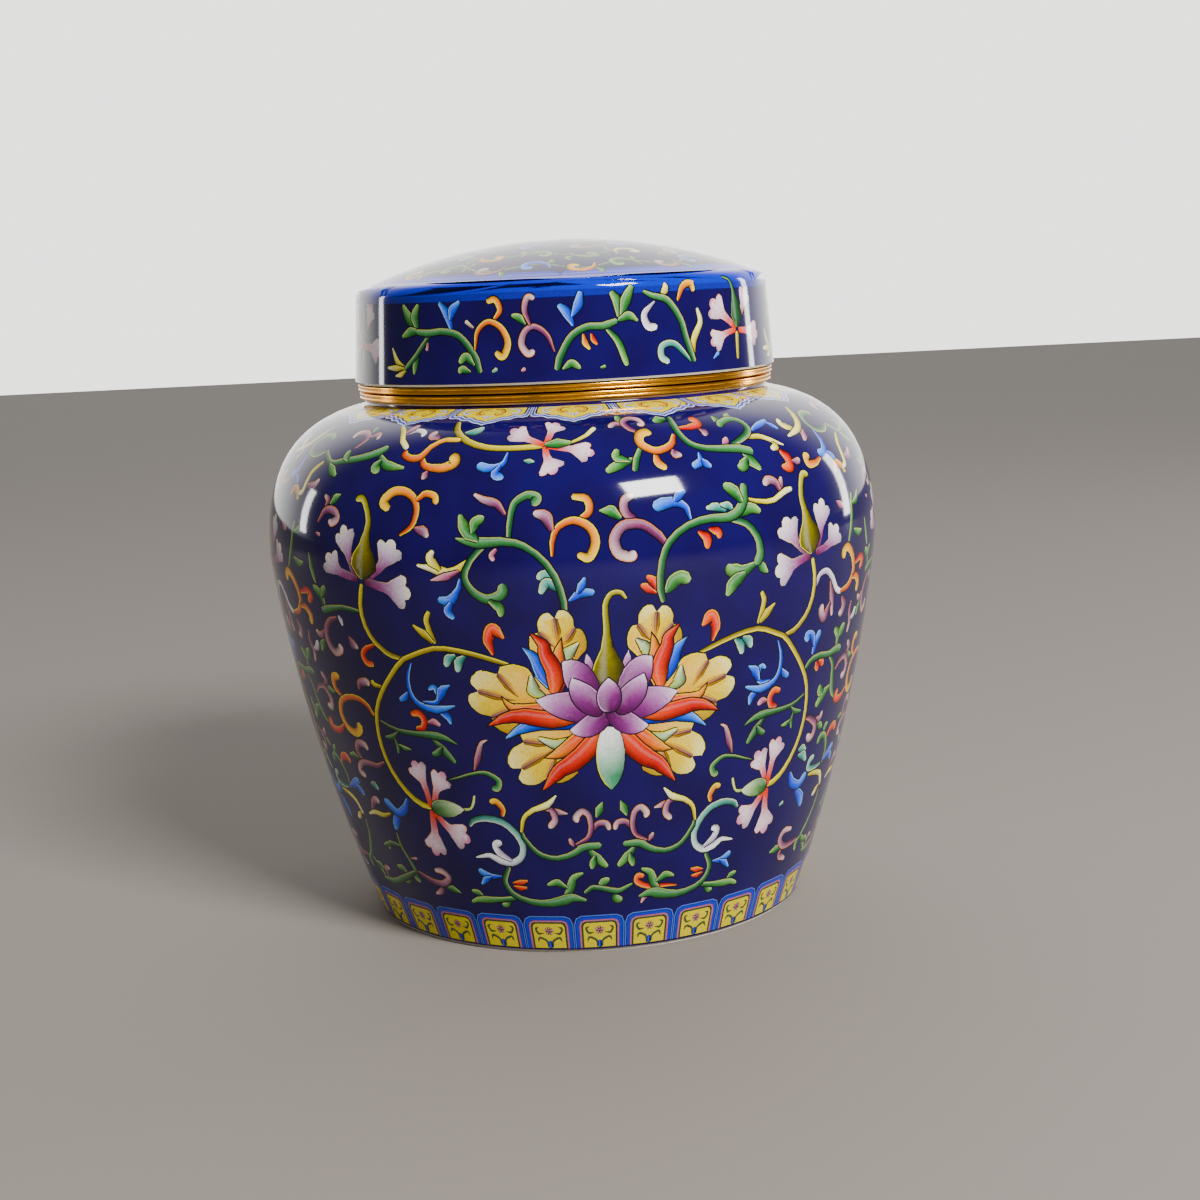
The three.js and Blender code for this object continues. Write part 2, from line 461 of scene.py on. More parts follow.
    def frill(self, width: float, spine: Points) -> None:
        """Lays a ruffled petal of yellow and cream with soft brown creases between its lobes.

        Args:
            width: Its greatest width in mm.
            spine: Its root, a place that it bends towards, and its tip, in mm.
        """
        self.petal(Ink.RUFFLE, Cut.FRILL, width, spine)
        for ink, half in ((Ink.SOFT_CREASE, (0.8, 0.9, 0.1)), (Ink.CREASE, (0.4, 0.4, 0.08))):
            for lobe in range(1, LOBES):
                unit = np.array([fan_place(lobe / LOBES, reach) for reach in (0.8, 0.5, 0.12)])
                spot, aside = self.bent(spine, unit[:, :1])
                self.stroke(ink, (spot + aside * unit[:, 1:] * width).tolist(), half)

    def panel(self, ink: Ink, outline: Points, middle: tuple[float, float]) -> None:
        """Fills a shape whose whole edge is seen from its middle.

        Args:
            ink: The enamel.
            outline: Places in mm around the shape.
            middle: The place that sees the whole edge.
        """
        edge = np.array(outline, float)
        places = np.vstack([edge, [middle]])
        looks = np.zeros((len(places), 8))
        looks[:, :3] = linear(ink.value.stops[0])
        looks[:, 3:6] = linear(ink.value.rim)
        reach = np.linalg.norm(edge - middle, axis=1).min()
        looks[-1, 6] = reach / ink.value.line_mm
        number = np.arange(len(edge))
        faces = np.column_stack([number, np.roll(number, -1), np.full(len(edge), len(edge))])
        self.lay(places, looks, faces, np.vstack([faces[:, :2], faces[:, 1:]]))

    def cut(self, border: np.ndarray, inside: np.ndarray) -> "Sheet":
        """Cuts the canvas into triangles that follow every stroke that shows.

        Args:
            border: Places around the canvas, in order.
            inside: Further places that keep the triangles small.

        Returns:
            The triangles with their colours.
        """
        painted = np.vstack(self.places)
        faces = np.vstack(self.faces)
        looks = np.vstack(self.looks)
        places = np.vstack([painted, border, inside])
        ring = np.arange(len(border)) + len(painted)
        edges = np.vstack([*self.edges, np.column_stack([ring, np.roll(ring, -1)])])
        corners = [Vector(place) for place in places.tolist()]
        found = delaunay_2d_cdt(corners, edges.tolist(), [], 0, CUT_MM, True)
        spots = np.array([tuple(spot) for spot in found[0]])
        cuts = np.array(found[2], dtype=np.int64)
        a, b, c = (spots[cuts[:, number]] for number in range(3))
        area = cross(b - a, c - a)
        middle = (a + b + c) / 3
        kept = inside_of(border, middle) & (np.abs(area) > 1e-9)
        cuts[area < 0] = cuts[area < 0][:, ::-1]
        cuts = cuts[kept]
        return Sheet.lit(spots, cuts, self.uppermost(middle[kept]), painted, faces, looks)

    def uppermost(self, middles: np.ndarray) -> np.ndarray:
        """Looks down through the strokes, stacked in the order they were laid.

        Args:
            middles: Places to look at.

        Returns:
            The number of the uppermost painted triangle at each place, or -1.
        """
        painted = np.vstack(self.places)
        faces = np.vstack(self.faces)
        layer = 0.01
        corners = painted[faces.ravel()]
        height = np.repeat(np.arange(len(faces)) * layer, 3)
        stacked = np.column_stack([corners, height]).tolist()
        triples = np.arange(len(stacked)).reshape(-1, 3).tolist()
        tree = BVHTree.FromPolygons(stacked, triples, all_triangles=True)
        above = len(faces) * layer + 1
        down = Vector((0, 0, -1))
        hits = (tree.ray_cast((x, y, above), down)[2] for x, y in middles.tolist())
        return np.array([-1 if hit is None else hit for hit in hits], dtype=np.int64)


def inside_of(border: np.ndarray, places: np.ndarray) -> np.ndarray:
    """Tells which places lie inside a convex border listed anticlockwise.

    Args:
        border: Places around the border.
        places: Places to test.

    Returns:
        One truth value for each place.
    """
    inside = np.ones(len(places), dtype=bool)
    following = np.roll(border, -1, axis=0)
    for start, end in zip(border, following):
        side = (end[0] - start[0]) * (places[:, 1] - start[1])
        side -= (end[1] - start[1]) * (places[:, 0] - start[0])
        inside &= side > -1e-7
    return inside


@dataclass
class Sheet:
    """Triangles cut from a canvas, with a look for each of their corners."""

    spots: np.ndarray
    faces: np.ndarray
    looks: np.ndarray

    @classmethod
    def lit(cls, spots: np.ndarray, cuts: np.ndarray, top: np.ndarray, places: np.ndarray,
            faces: np.ndarray, looks: np.ndarray) -> "Sheet":
        """Gives each cut triangle the look of the uppermost stroke over it.

        Args:
            spots: Places of the cut triangles' corners.
            cuts: Corner numbers of the cut triangles.
            top: Number of the uppermost painted triangle over each, or -1.
            places: Places of the painted corners.
            faces: Corner numbers of the painted triangles.
            looks: Looks of the painted corners.

        Returns:
            The sheet, with colour, rim colour, edge, across and paint for each corner.
        """
        result = np.zeros((len(cuts), 3, 9))
        painted = top >= 0
        source = faces[top[painted]]
        a, b, c = (places[source[:, i]][:, None, :] for i in range(3))
        spot = spots[cuts[painted]]
        area = cross(b - a, c - a)
        area = np.where(np.abs(area) < 1e-12, 1e-12, area)
        share_b = np.clip(cross(spot - a, c - a) / area, -0.5, 1.5)
        share_c = np.clip(cross(b - a, spot - a) / area, -0.5, 1.5)
        share_a = 1 - share_b - share_c
        mixed = sum(
            share[..., None] * looks[source[:, i]][:, None, :]
            for i, share in enumerate((share_a, share_b, share_c))
        )
        result[painted, :, :8] = mixed
        result[..., :6] = np.clip(result[..., :6], 0, 1)
        result[painted, :, 8] = 1
        return cls(spots, cuts, result)


def cross(first: np.ndarray, second: np.ndarray) -> np.ndarray:
    """Gives the area spanned by pairs of flat vectors."""
    return first[..., 0] * second[..., 1] - first[..., 1] * second[..., 0]


@dataclass
class Outline:
    """The outside of a turned piece, measured along its own surface in mm."""

    run: np.ndarray
    radius: np.ndarray
    height: np.ndarray

    @classmethod
    def through(cls, points: np.ndarray, start: float = 0.0) -> "Outline":
        """Measures a line of radius and height points, starting from a given run.

        Args:
            points: Radius and height in mm, from below.
            start: Run of the first point in mm.

        Returns:
            The outline.
        """
        steps = np.linalg.norm(np.diff(points, axis=0), axis=1)
        run = start + np.concatenate([[0], np.cumsum(steps)])
        return cls(run, points[:, 0], points[:, 1])

    def at(self, run: np.ndarray) -> tuple[np.ndarray, np.ndarray]:
        """Gives radius and height at places along the surface."""
        return np.interp(run, self.run, self.radius), np.interp(run, self.run, self.height)

    def normals(self, places: np.ndarray) -> np.ndarray:
        """Gives the true outward direction at places in metres on the turned surface.

        Args:
            places: Places on the surface, their height rising along the outline.

        Returns:
            One unit vector for each place.
        """
        out = np.gradient(self.height, self.run)
        up = -np.gradient(self.radius, self.run)
        height = places[:, 2] / MM
        out, up = (np.interp(height, self.height, part) for part in (out, up))
        around = np.maximum(np.hypot(places[:, 0], places[:, 1]), 1e-9)
        found = np.column_stack([places[:, 0] / around * out, places[:, 1] / around * out, up])
        return found / np.linalg.norm(found, axis=1)[:, None]


def bezier(corners: Points, steps: int) -> np.ndarray:
    """Draws a quadratic or cubic curve.

    Args:
        corners: Three or four control places.
        steps: Number of equal steps.

    Returns:
        Points along the curve.
    """
    points = [np.array(corner, float) for corner in corners]
    share = np.linspace(0, 1, steps + 1)[:, None]
    while len(points) > 1:
        points = [a * (1 - share) + b * share for a, b in zip(points, points[1:])]
    return points[0]


@dataclass
class LotusScroll:
    """The scroll on the body: places are degrees from an axis and mm up along its outside."""

    outline: Outline
    mm_per_degree: float = math.radians(76.8)

    def __post_init__(self) -> None:
        """Starts the canvas of one repeat."""
        start = SEAM_ANGLE * self.mm_per_degree
        self.canvas = Canvas(TILE_TURN * self.mm_per_degree, start, 0.22)

    def place(self, points: Points, right: bool) -> Points:
        """Turns degrees from the axis, counted to the left, into mm on the canvas.

        Args:
            points: Degrees to the left of the axis and mm upwards.
            right: True to put the points on the right of the axis instead.

        Returns:
            The points in mm.
        """
        placed = []
        for turn, rise in points:
            angle = LOTUS_ANGLE - turn
            if right:
                lean = LEAN * (1 - math.cos(math.radians(3 * turn)))
                angle = LOTUS_ANGLE + turn - lean
            placed.append((angle * self.mm_per_degree, rise))
        return placed

    def brush(self, ink: Ink, half: tuple[float, ...], *course: float,
              side: Side = Side.BOTH) -> None:
        """Lays a stroke to the left of the axis, or on both sides.

        Args:
            ink: The enamel.
            half: Half widths in mm from root to tip.
            course: Degrees from the axis and mm upwards, by turns, from root to tip.
            side: Where it goes.
        """
        self.canvas.stroke(ink, self.place(pairs(course), False), half)
        if side is Side.BOTH:
            self.canvas.stroke(ink, self.place(pairs(course), True), half)

    def petal(self, ink: Ink, shape: Cut, width: float, spine: Points,
              side: Side = Side.BOTH) -> None:
        """Lays a petal to the left of the axis, or on both sides.

        Args:
            ink: The enamel.
            shape: Its outline.
            width: Its greatest width in mm.
            spine: Its root, bend and tip, in degrees from the axis and mm upwards.
            side: Where it goes.
        """
        self.canvas.petal(ink, shape, width, self.place(spine, False))
        if side is Side.BOTH:
            self.canvas.petal(ink, shape, width, self.place(spine, True))

    def frill(self, width: float, spine: Points) -> None:
        """Lays a ruffled petal on both sides of the axis, along its root, bend and tip."""
        for mirrored in (False, True):
            self.canvas.frill(width, self.place(spine, mirrored))

    def paint(self) -> None:
        """Lays the whole repeat, from the vines behind to the flowers in front."""
        self.strip_scrolls()
        self.shoulder_scrolls()
        self.left_scrolls()
        self.right_scrolls()
        self.main_vines()
        self.low_scrolls()
        self.low_flowers()
        self.high_flowers()
        self.lotus()
        self.lappets()
        self.clouds()

    def main_vines(self) -> None:
        """Lays the ochre vines that leave the lotus and carry the four flowers."""
        lay = self.brush
        lay(Ink.OCHRE, (0.8, 0.8), 30, 80, 30.8, 82.8, 31.2, 85.6, 30.4, 87.8)
        lay(Ink.OCHRE, (0.8, 1.1, 0.5), 30.4, 80.2, 32.5, 82.8, 34.1, 84.4)
        lay(Ink.OCHRE, (0.8, 0.75, 0.75), 37.3, 76, 40.4, 77, 43.3, 80, 44.8, 83.9, 45, 88.4, 43.9, 93.4)
        lay(Ink.OCHRE, (0.6, 0.9), 43, 68.3, 45.2, 68.8, 46, 70, side=Side.LEFT)
        lay(Ink.OCHRE, (0.7, 0.75, 0.75, 0.75, 0.8, 1.0), 17, 75.3, 23.9, 78, 30, 79, 35, 77, 37.5, 75.6,
            40.4, 72, 43.7, 67.2, 46.2, 62.1, 47.2, 56, 46.9, 50.4, 45.4, 45.4, 42.9, 41.3, 40.4, 39.1,
            37.7, 38.2)

    def lotus(self) -> None:
        """Lays the lotus that faces the viewer, from its ruffled petals to its pistil."""
        lay = self.brush
        self.frill(13.6, [(9.4, 70), (7.6, 77), (8.9, 88.2)])
        self.frill(17.8, [(6, 64), (14, 65.6), (25.4, 69.8)])
        self.frill(17.6, [(1, 60.4), (8, 57), (18.8, 48.2)])
        lay(Ink.SEPAL, (0.4, 1.5, 0.5), 6.6, 74, 6.8, 77.4, 4.8, 80.2)
        lay(Ink.SEPAL, (0.4, 1.6, 0.5), 10.8, 67.4, 13, 69, 13.4, 73)
        lay(Ink.SEPAL, (0.4, 1.4, 0.5), 6, 58, 9.6, 55.8, 13.2, 57.6)
        lay(Ink.BLUE, (1.2, 1.6, 1.2, 0.3), 9.8, 69.4, 11.6, 73.5, 12.6, 77, 15, 80)
        lay(Ink.BLUE, (1.2, 1.7, 1.4, 0.3), 5.6, 60.4, 11, 61.2, 15.6, 60.1, 19.4, 57.2)
        lay(Ink.EMBER, (1.2, 1.8, 1.3, 0.2), 8.8, 68.4, 8.2, 73, 8.4, 77.6, 7.6, 81.8)
        lay(Ink.SCARLET, (1.4, 2.0, 1.8, 1.3, 0.2), 9.6, 68, 9.2, 73, 10.6, 77.6, 10.9, 80, 13.1, 82.9)
        lay(Ink.EMBER, (1.2, 2.0, 1.8, 1.2, 0.2), 6, 62.8, 11, 64, 15, 64.4, 17.6, 65.4, 19.2, 68.2)
        lay(Ink.SCARLET, (1.2, 2.0, 1.9, 1.3, 0.2), 5.8, 61.8, 11, 62, 15.6, 63, 19, 62.4, 22.6, 60.2)
        lay(Ink.EMBER, (1.0, 2.2, 2.0, 1.4, 0.2), 0.8, 60.6, 4, 58, 7.4, 55.2, 9.8, 53.4, 12.6, 52.4)
        lay(Ink.SCARLET, (1.0, 2.3, 2.2, 1.6, 0.2), 0.6, 60, 3.6, 55, 6.6, 51.4, 9.6, 49.2, 13.4, 43.8)
        self.petal(Ink.DROP, Cut.DROP, 7.6, [(0, 59.6), (0, 50), (0, 43.4)], Side.LEFT)
        self.lotus_seat()

    def lotus_seat(self) -> None:
        """Lays the violet seat petals and the pistil in their middle."""
        lay = self.brush
        self.petal(Ink.LOTUS, Cut.DROP, 2.9, [(2.2, 68), (3.2, 73), (3.6, 77.6)])
        lay(Ink.BULB, (2.6, 4.0, 3.0, 1.5, 0.9, 0.8, 0.75, 0.7, 0.6), 0, 68, 0, 73.4, 0.1, 79, 0.1, 84,
            0.2, 88.3, -0.8, 90.8, -2.4, 91, -3.4, 89.4, side=Side.LEFT)
        self.petal(Ink.LOTUS, Cut.DROP, 7.4, [(3, 64.5), (4.6, 73), (8, 75.8)])
        self.petal(Ink.LOTUS, Cut.DROP, 7.6, [(0.4, 64), (6, 64.4), (13, 66.8)])
        self.petal(Ink.LOTUS, Cut.DROP, 5.6, [(0, 64), (3, 58.6), (7.4, 59.2)])
        self.petal(Ink.LOTUS, Cut.DROP, 6.4, [(1, 63.4), (4.8, 66.4), (6.4, 72)])
        self.petal(Ink.LOTUS, Cut.DROP, 6.2, [(0, 63), (0, 67), (0, 71.6)], Side.LEFT)

    def low_flowers(self) -> None:
        """Lays the pink flowers that hang from the ochre vines below the lotus."""
        lay = self.brush
        for width, spine in (
            (6.6, [(37.8, 38.6), (37.8, 45), (39.8, 50.4)]),
            (6.4, [(37, 38.6), (36.2, 43), (32.8, 48)]),
            (7.6, [(37.8, 37.4), (38, 32), (39.9, 25)]),
            (7.4, [(37.2, 37.4), (35.6, 33), (30, 30.2)]),
        ):
            self.petal(Ink.BLOSSOM, Cut.FLARE, width, spine)
        lay(Ink.SEPAL, (0.8, 0.6, 0.5, 0.6), 34, 38.5, 29.1, 38.7, 27.7, 40.3, 27.1, 42.7)
        self.petal(Ink.POD, Cut.DROP, 5.0, [(37.6, 38.4), (34.4, 38.4), (29.8, 38.6)])

    def high_flowers(self) -> None:
        """Lays the violet flowers that stand on the ochre vines above the lotus."""
        lay = self.brush
        for width, spine in (
            (7.6, [(42.4, 94.6), (38.6, 97), (36.6, 103.6)]),
            (8.2, [(43, 94), (38.6, 92.6), (33.6, 91.4)]),
            (6.8, [(45.2, 94.6), (46.8, 99), (48.2, 106.4)]),
            (7.2, [(45, 94.4), (50, 94.6), (52.6, 99.6)]),
        ):
            self.petal(Ink.VIOLET, Cut.FLARE, width, spine)
        lay(Ink.BULB, (1.8, 3.7, 3.2, 1.7, 1.0, 0.9, 0.85, 0.9, 1.0), 43.7, 94.2, 43.2, 98.4, 42.6, 104,
            42.1, 107.4, 42.9, 110.7, 44.2, 112.7, 45.8, 112.4)

    def left_scrolls(self) -> None:
        """Lays the green vine with its curls on the upper left of the lotus."""
        lay = partial(self.brush, side=Side.LEFT)
        lay(Ink.ORANGE, (0.8, 1.0, 1.0), 4.2, 107.2, 2.1, 109.1, 2.4, 112, 5, 112.7)
        lay(Ink.ORANGE, (0.6, 0.8, 1.0, 1.1, 1.1), 8.5, 99.6, 8.3, 103.5, 7.1, 106.3, 4.6, 107.4,
            2.1, 105.7, 1.3, 102.4, 2.5, 99.2, 4.4, 100)
        lay(Ink.MAUVE, (0.9, 1.4, 1.1), 8.3, 105.1, 9.3, 108.5, 11.4, 109.4)
        lay(Ink.MAUVE, (0.7, 1.1, 0.7), 16, 109, 17.5, 111.6, 19.6, 112.4, 21.7, 114)
        lay(Ink.VINE, (0.8, 0.8, 1.0, 1.2), 15.6, 103.5, 15.2, 108.5, 14.4, 111.8, 12.3, 113.4,
            10.6, 112.7, 11.5, 111)
        lay(Ink.PINK, (0.7, 0.8), 17.5, 101.8, 18.5, 100.4, 18.1, 99)
        lay(Ink.CREAM, (0.8, 0.9, 1.2, 0.5), 20.8, 100.7, 23.7, 97.9, 26.2, 96.6, 28.3, 97.3, 32.1, 98.2)
        lay(Ink.CREAM, (0.6, 1.2, 0.9), 27.4, 97, 29.4, 99.6, 28.7, 101.6)
        lay(Ink.PINK, (0.6, 1.0, 0.4), 24.1, 97, 26.6, 95.7, 29.6, 94.8)
        lay(Ink.BLUE, (0.6, 0.8, 1.3, 1.0), 24.1, 95.4, 24.6, 92.9, 26.4, 90.2, 28.6, 90.6)
        lay(Ink.BLUE, (0.8, 1.1, 0.8), 26, 90, 26.9, 87.8, 25.8, 86)
        lay(Ink.VINE, (0.8, 0.8, 0.9, 1.2, 1.3), 19.2, 103, 22, 99.6, 23.3, 95.7, 22, 92.3, 19.6, 90.6,
            17.2, 91.8, 16.9, 94.2)
        lay(Ink.LEAF, (0.7, 1.2, 0.8), 19.6, 90.4, 17.7, 88.6, 17.7, 86.4)
        lay(Ink.TEAL, (0.7, 1.2, 0.9), 8, 94.5, 9.9, 95.8, 11.2, 94.8)
        lay(Ink.TEAL, (0.7, 1.2, 0.9), 7.6, 92, 9.6, 94, 10.8, 91.4)
        lay(Ink.BLUE, (0.6, 1.2, 1.1), 6.2, 89.6, 4.2, 91.4, 1.8, 91.4)
        lay(Ink.BLUE, (0.6, 1.0, 0.6), 4.8, 91.2, 3.9, 93, 3.3, 95)
        lay(Ink.VINE, (0.9, 0.85, 0.85, 0.85, 1.0, 1.3, 0.5), 6.9, 86.2, 7.1, 90.6, 8.3, 95.7, 10.4, 99.6,
            13.3, 102.4, 16.2, 103.3, 19.6, 103.2, 22, 103.2, 24.8, 104.2)
        lay(Ink.LEAF, (0.7, 1.5, 1.4, 0.8), 20.6, 103.4, 22.9, 106, 24, 109.6)
        lay(Ink.LEAF, (0.7, 1.3, 1.0), 21.8, 105, 21.2, 107.6, 19.6, 108.8)
        self.brush(Ink.TEAL, (0.7, 1.2, 1.0), 24.6, 77.5, 26, 76, 26.6, 73.4)
        self.brush(Ink.TEAL, (0.7, 1.2, 1.0), 26.4, 77.5, 27.9, 76.6, 28.7, 74.6)
        self.brush(Ink.RED, (0.6, 1.2, 1.6, 0.6), 19.6, 77.5, 20.3, 81, 19.2, 83.6, 17.4, 81.4)
        lay(Ink.ORANGE, (0.6, 0.8, 1.0, 1.2, 1.3), 35.4, 104.6, 32.9, 106.8, 32.1, 110.2, 32.9, 113,
            35, 114.6, 37.5, 114.4, 39.2, 112.1, 37.8, 110.3)
        lay(Ink.ORANGE, (0.8, 0.9, 1.0), 32.5, 112.4, 30.8, 114.1, 28.9, 113.5, 28.5, 111.6)
        lay(Ink.MAUVE, (0.7, 1.3, 0.9), 32.5, 106.3, 30.6, 105.7, 29.7, 104.2)
        lay(Ink.RED, (0.7, 0.9, 1.0), 43.1, 78.9, 45.4, 77.8, 46.6, 76.1, 46, 74.2, 44.2, 73.9)

    def low_scrolls(self) -> None:
        """Lays the curls and sprigs beside and below the lotus."""
        lay = self.brush
        lay(Ink.BLUE, (0.5, 0.7, 1.0, 0.6), 34.6, 65.8, 32, 65.7, 30.8, 67.4, 31.7, 69.6, 33, 68.8)
        lay(Ink.BLUE, (0.8, 1.3, 0.4), 31.4, 66, 30, 69, 28.3, 70.3)
        lay(Ink.BLUE, (0.6, 1.0, 0.9), 37.3, 68, 38.4, 66.4, 39.8, 65.6)
        lay(Ink.BLUE, (0.8, 1.1, 0.6), 31.5, 63.8, 29.8, 62.4, 29.4, 60.4)
        lay(Ink.BLUE, (0.5, 0.7, 0.8, 1.1, 0.5), 35.6, 75.3, 36.9, 71.6, 36.9, 67.7, 35.4, 65.1, 32, 64,
            27.9, 65.2)
        lay(Ink.RED, (0.9, 1.0, 1.0), 37.3, 58.8, 35.6, 59.2, 35, 61.2, 36, 62.8, 37.9, 62.4)
        lay(Ink.PINK, (0.6, 1.0, 0.8), 34.4, 60.6, 32.9, 60.9, 31.6, 60)
        lay(Ink.DEEP_LEAF, (0.6, 1.2, 0.8), 34.4, 57, 31.8, 53.6, 29.8, 50.6)
        lay(Ink.DEEP_LEAF, (0.6, 1.0, 0.8), 32, 54.8, 33.4, 53, 34.8, 52.6)
        lay(Ink.DEEP_LEAF, (0.6, 0.7, 0.8, 1.1, 0.4), 46, 59.8, 42.5, 58, 38.3, 57.5, 34.1, 57.5,
            31.2, 57, 28.7, 55.5)
        lay(Ink.DEEP_LEAF, (0.5, 0.9, 0.6), 41.7, 57.6, 43.3, 56, 45.6, 55.6)
        lay(Ink.DEEP_LEAF, (0.5, 0.8, 0.5), 43, 56, 42.6, 53.8, 43, 51.6)
        lay(Ink.LEAF, (0.4, 0.8, 0.4), 42.5, 54.3, 41, 53.3, 39.4, 53.2)
        lay(Ink.MAUVE, (0.5, 1.0, 0.8, 0.4), 26.2, 49, 25, 52.6, 24, 56, 22.6, 57)
        lay(Ink.VINE, (0.4, 0.5, 0.6, 0.8, 1.1), 32.1, 46.2, 29.6, 47.1, 26.2, 48.4, 23.7, 48.5,
            21.6, 46.7, 22, 44.8, 23.2, 44.6)
        lay(Ink.ORANGE, (0.8, 0.9, 0.9), 22, 37.2, 21.6, 39.2, 22.7, 41.2, 24.2, 41)
        lay(Ink.TEAL_PEARL, (0.8, 1.0, 1.0, 1.0, 1.1, 0.4), 29.6, 34.2, 28.3, 35.9, 25.4, 36.7,
            22.1, 35.8, 19.7, 33.1, 18.5, 29.7, 19.1, 26.6, 21.2, 24.9, 23.7, 25.2, 26.2, 26.6,
            29.6, 25.8)
        lay(Ink.PEARL, (0.7, 1.1, 1.1), 21.2, 25.4, 23.8, 27.5, 24.4, 29.6, 22.9, 30.4)
        lay(Ink.BLUE, (0.5, 1.0, 1.2), 24.1, 20.9, 27.2, 20.8, 29.6, 22.4)
        lay(Ink.BLUE, (0.5, 1.0, 0.6), 26.4, 20.8, 28.2, 19.8, 29.6, 18.2)
        lay(Ink.RED, (0.5, 0.9, 0.6), 22.1, 19.2, 20.2, 19.4, 18.4, 20)
        lay(Ink.RED, (0.5, 0.8, 0.6), 22, 18.4, 20.4, 17.8, 18.8, 18)
        lay(Ink.LEAF, (0.8, 1.3, 0.6), 11.2, 14.7, 9.4, 17.4, 8.5, 20.6, 6.2, 22)
        lay(Ink.LEAF, (0.7, 1.1, 0.6), 9.8, 17.8, 12.1, 19.5, 14.4, 18.8)
        lay(Ink.LEAF, (0.6, 1.0, 0.7), 29.4, 14.2, 30.8, 15.7, 32.6, 16.2)
        lay(Ink.LEAF, (0.6, 1.0, 0.7), 22.9, 14.8, 24.4, 12.9, 25.6, 13)
        lay(Ink.LEAF, (0.8, 0.8, 1.1, 0.7), 20.8, 15.2, 23.7, 14.6, 27.9, 14, 31.2, 13.8, 33.3, 12.8)
        lay(Ink.VINE, (0.9, 0.9, 0.9, 1.1, 1.5, 0.6), 22.1, 23.8, 23.3, 21.4, 23.7, 19.1, 22.5, 16.3,
            19.6, 14.4, 15.4, 13.6, 11.2, 14.4, 8.7, 15.1, 5.8, 14.2)
        lay(Ink.MAUVE, (0.6, 1.0, 0.5), 12.4, 39.6, 10.8, 38.6, 8.6, 38)
        lay(Ink.MAUVE, (0.6, 0.9, 1.1), 15.4, 39.5, 13.3, 39.7, 11.7, 38.8, 11.3, 36.3, 12.7, 34.4)
        lay(Ink.LEAF, (0.6, 1.3, 0.9), 5.2, 28.8, 2.9, 25.3, 1, 23.2)
        lay(Ink.LEAF, (0.6, 1.1, 0.8), 3.6, 26.8, 4.2, 24.6, 4.4, 22.8)
        lay(Ink.VINE, (0.7, 0.8, 0.8, 1.0, 1.1), 18.3, 33.7, 17.9, 31.4, 15.4, 27.6, 12.1, 26.2, 8.7, 27,
            5.8, 29, 2.2, 29.2)
        lay(Ink.CREAM, (0.7, 0.7, 0.8, 1.0, 0.5), 18.4, 33, 17.5, 37, 15.4, 39.2, 12.5, 40.5, 10.6, 43)
        lay(Ink.MAUVE, (0.5, 0.9, 0.7), 7.8, 29.2, 8.3, 30.6, 8.8, 31.6)
        lay(Ink.MAUVE, (0.6, 0.9, 0.9), 4.4, 32.5, 2.9, 35, 1.1, 35, 0.5, 33)
        lay(Ink.MAUVE, (0.6, 0.8, 0.9, 1.1), 7.6, 29.7, 5, 31.4, 4.2, 34.2, 4.6, 37.4, 5.9, 38.5, 7.1, 37,
            6.8, 35.6)
        lay(Ink.LEAF, (0.6, 1.2, 0.4), 3.1, 36.6, 2.5, 38.6, 1.7, 40.8)

    def lone(self, ink: Ink, half: tuple[float, ...], *course: float) -> None:
        """Lays a stroke without a twin, in degrees from the front and mm upwards by turns."""
        self.canvas.stroke(ink, in_mm(pairs(course), self.mm_per_degree), half)

    def right_scrolls(self) -> None:
        """Lays the green vine with its curls on the upper right of the lotus."""
        lay = self.lone
        lay(Ink.BLUE, (0.6, 0.9, 1.3, 1.7), 20, 105.4, 19.4, 108.5, 17.6, 109.9, 15.4, 109.8, 13.6, 109)
        lay(Ink.BLUE, (0.8, 1.2, 0.8), 17.4, 110, 18.4, 111.4, 19.8, 112.4)
        lay(Ink.MAUVE, (0.9, 1.1, 1.0), 11.2, 105.8, 8.9, 108.4, 8.9, 111.2, 10.6, 112.2)
        lay(Ink.MAUVE, (1.0, 1.1, 1.2, 1.3, 1.3), 15.6, 100.4, 13.8, 103.5, 11.3, 105.7, 8.3, 105.6,
            6.7, 102.9, 7.2, 99.8, 9.2, 98.8, 10, 100)
        lay(Ink.LEAF, (0.8, 1.4, 0.4), 8.1, 107.1, 6.4, 109, 4.4, 109.2)
        lay(Ink.RED, (0.6, 1.1, 0.8), 13.4, 90.1, 11.9, 91.6, 10.6, 92.4)
        lay(Ink.RED, (0.6, 1.1, 0.7), 13.4, 91, 12.7, 93.2, 11.6, 94.3)
        lay(Ink.RED, (0.6, 1.2, 1.0), 21, 103.1, 22.6, 101.4, 22.6, 98.9)
        lay(Ink.RED, (0.6, 1.1, 0.8), 23, 103.4, 24.8, 102.4, 24.9, 100.8)
        lay(Ink.TEAL, (0.7, 1.1, 0.7), 26.8, 106.8, 25, 108, 22.9, 107.9)
        lay(Ink.TEAL, (0.6, 1.0, 0.6), 28, 106.4, 27.4, 107.9, 25.6, 108.4)
        lay(Ink.MAUVE, (0.6, 1.0, 0.7), 38.6, 109.2, 39.3, 111, 40, 113.1)
        lay(Ink.MAUVE, (0.8, 1.1, 1.2), 39, 109.2, 38.3, 111.8, 36.7, 112.6, 35.4, 111.6)
        lay(Ink.CREAM, (0.6, 0.7, 0.8, 0.9), 31, 109.1, 34.2, 107.9, 37.1, 107.9, 40, 109.5, 42, 109.9)
        lay(Ink.LEAF, (0.9, 1.4, 1.0), 27.6, 105.1, 29.9, 106.4, 32, 106.8, 33.8, 105.6)
        lay(Ink.LEAF, (0.7, 1.2, 0.5), 32.4, 95.2, 33.4, 93, 34.6, 91.8)
        lay(Ink.LEAF, (0.9, 1.3, 1.7, 1.4), 32, 94.4, 29.2, 93, 26.9, 93.6, 26.2, 95)
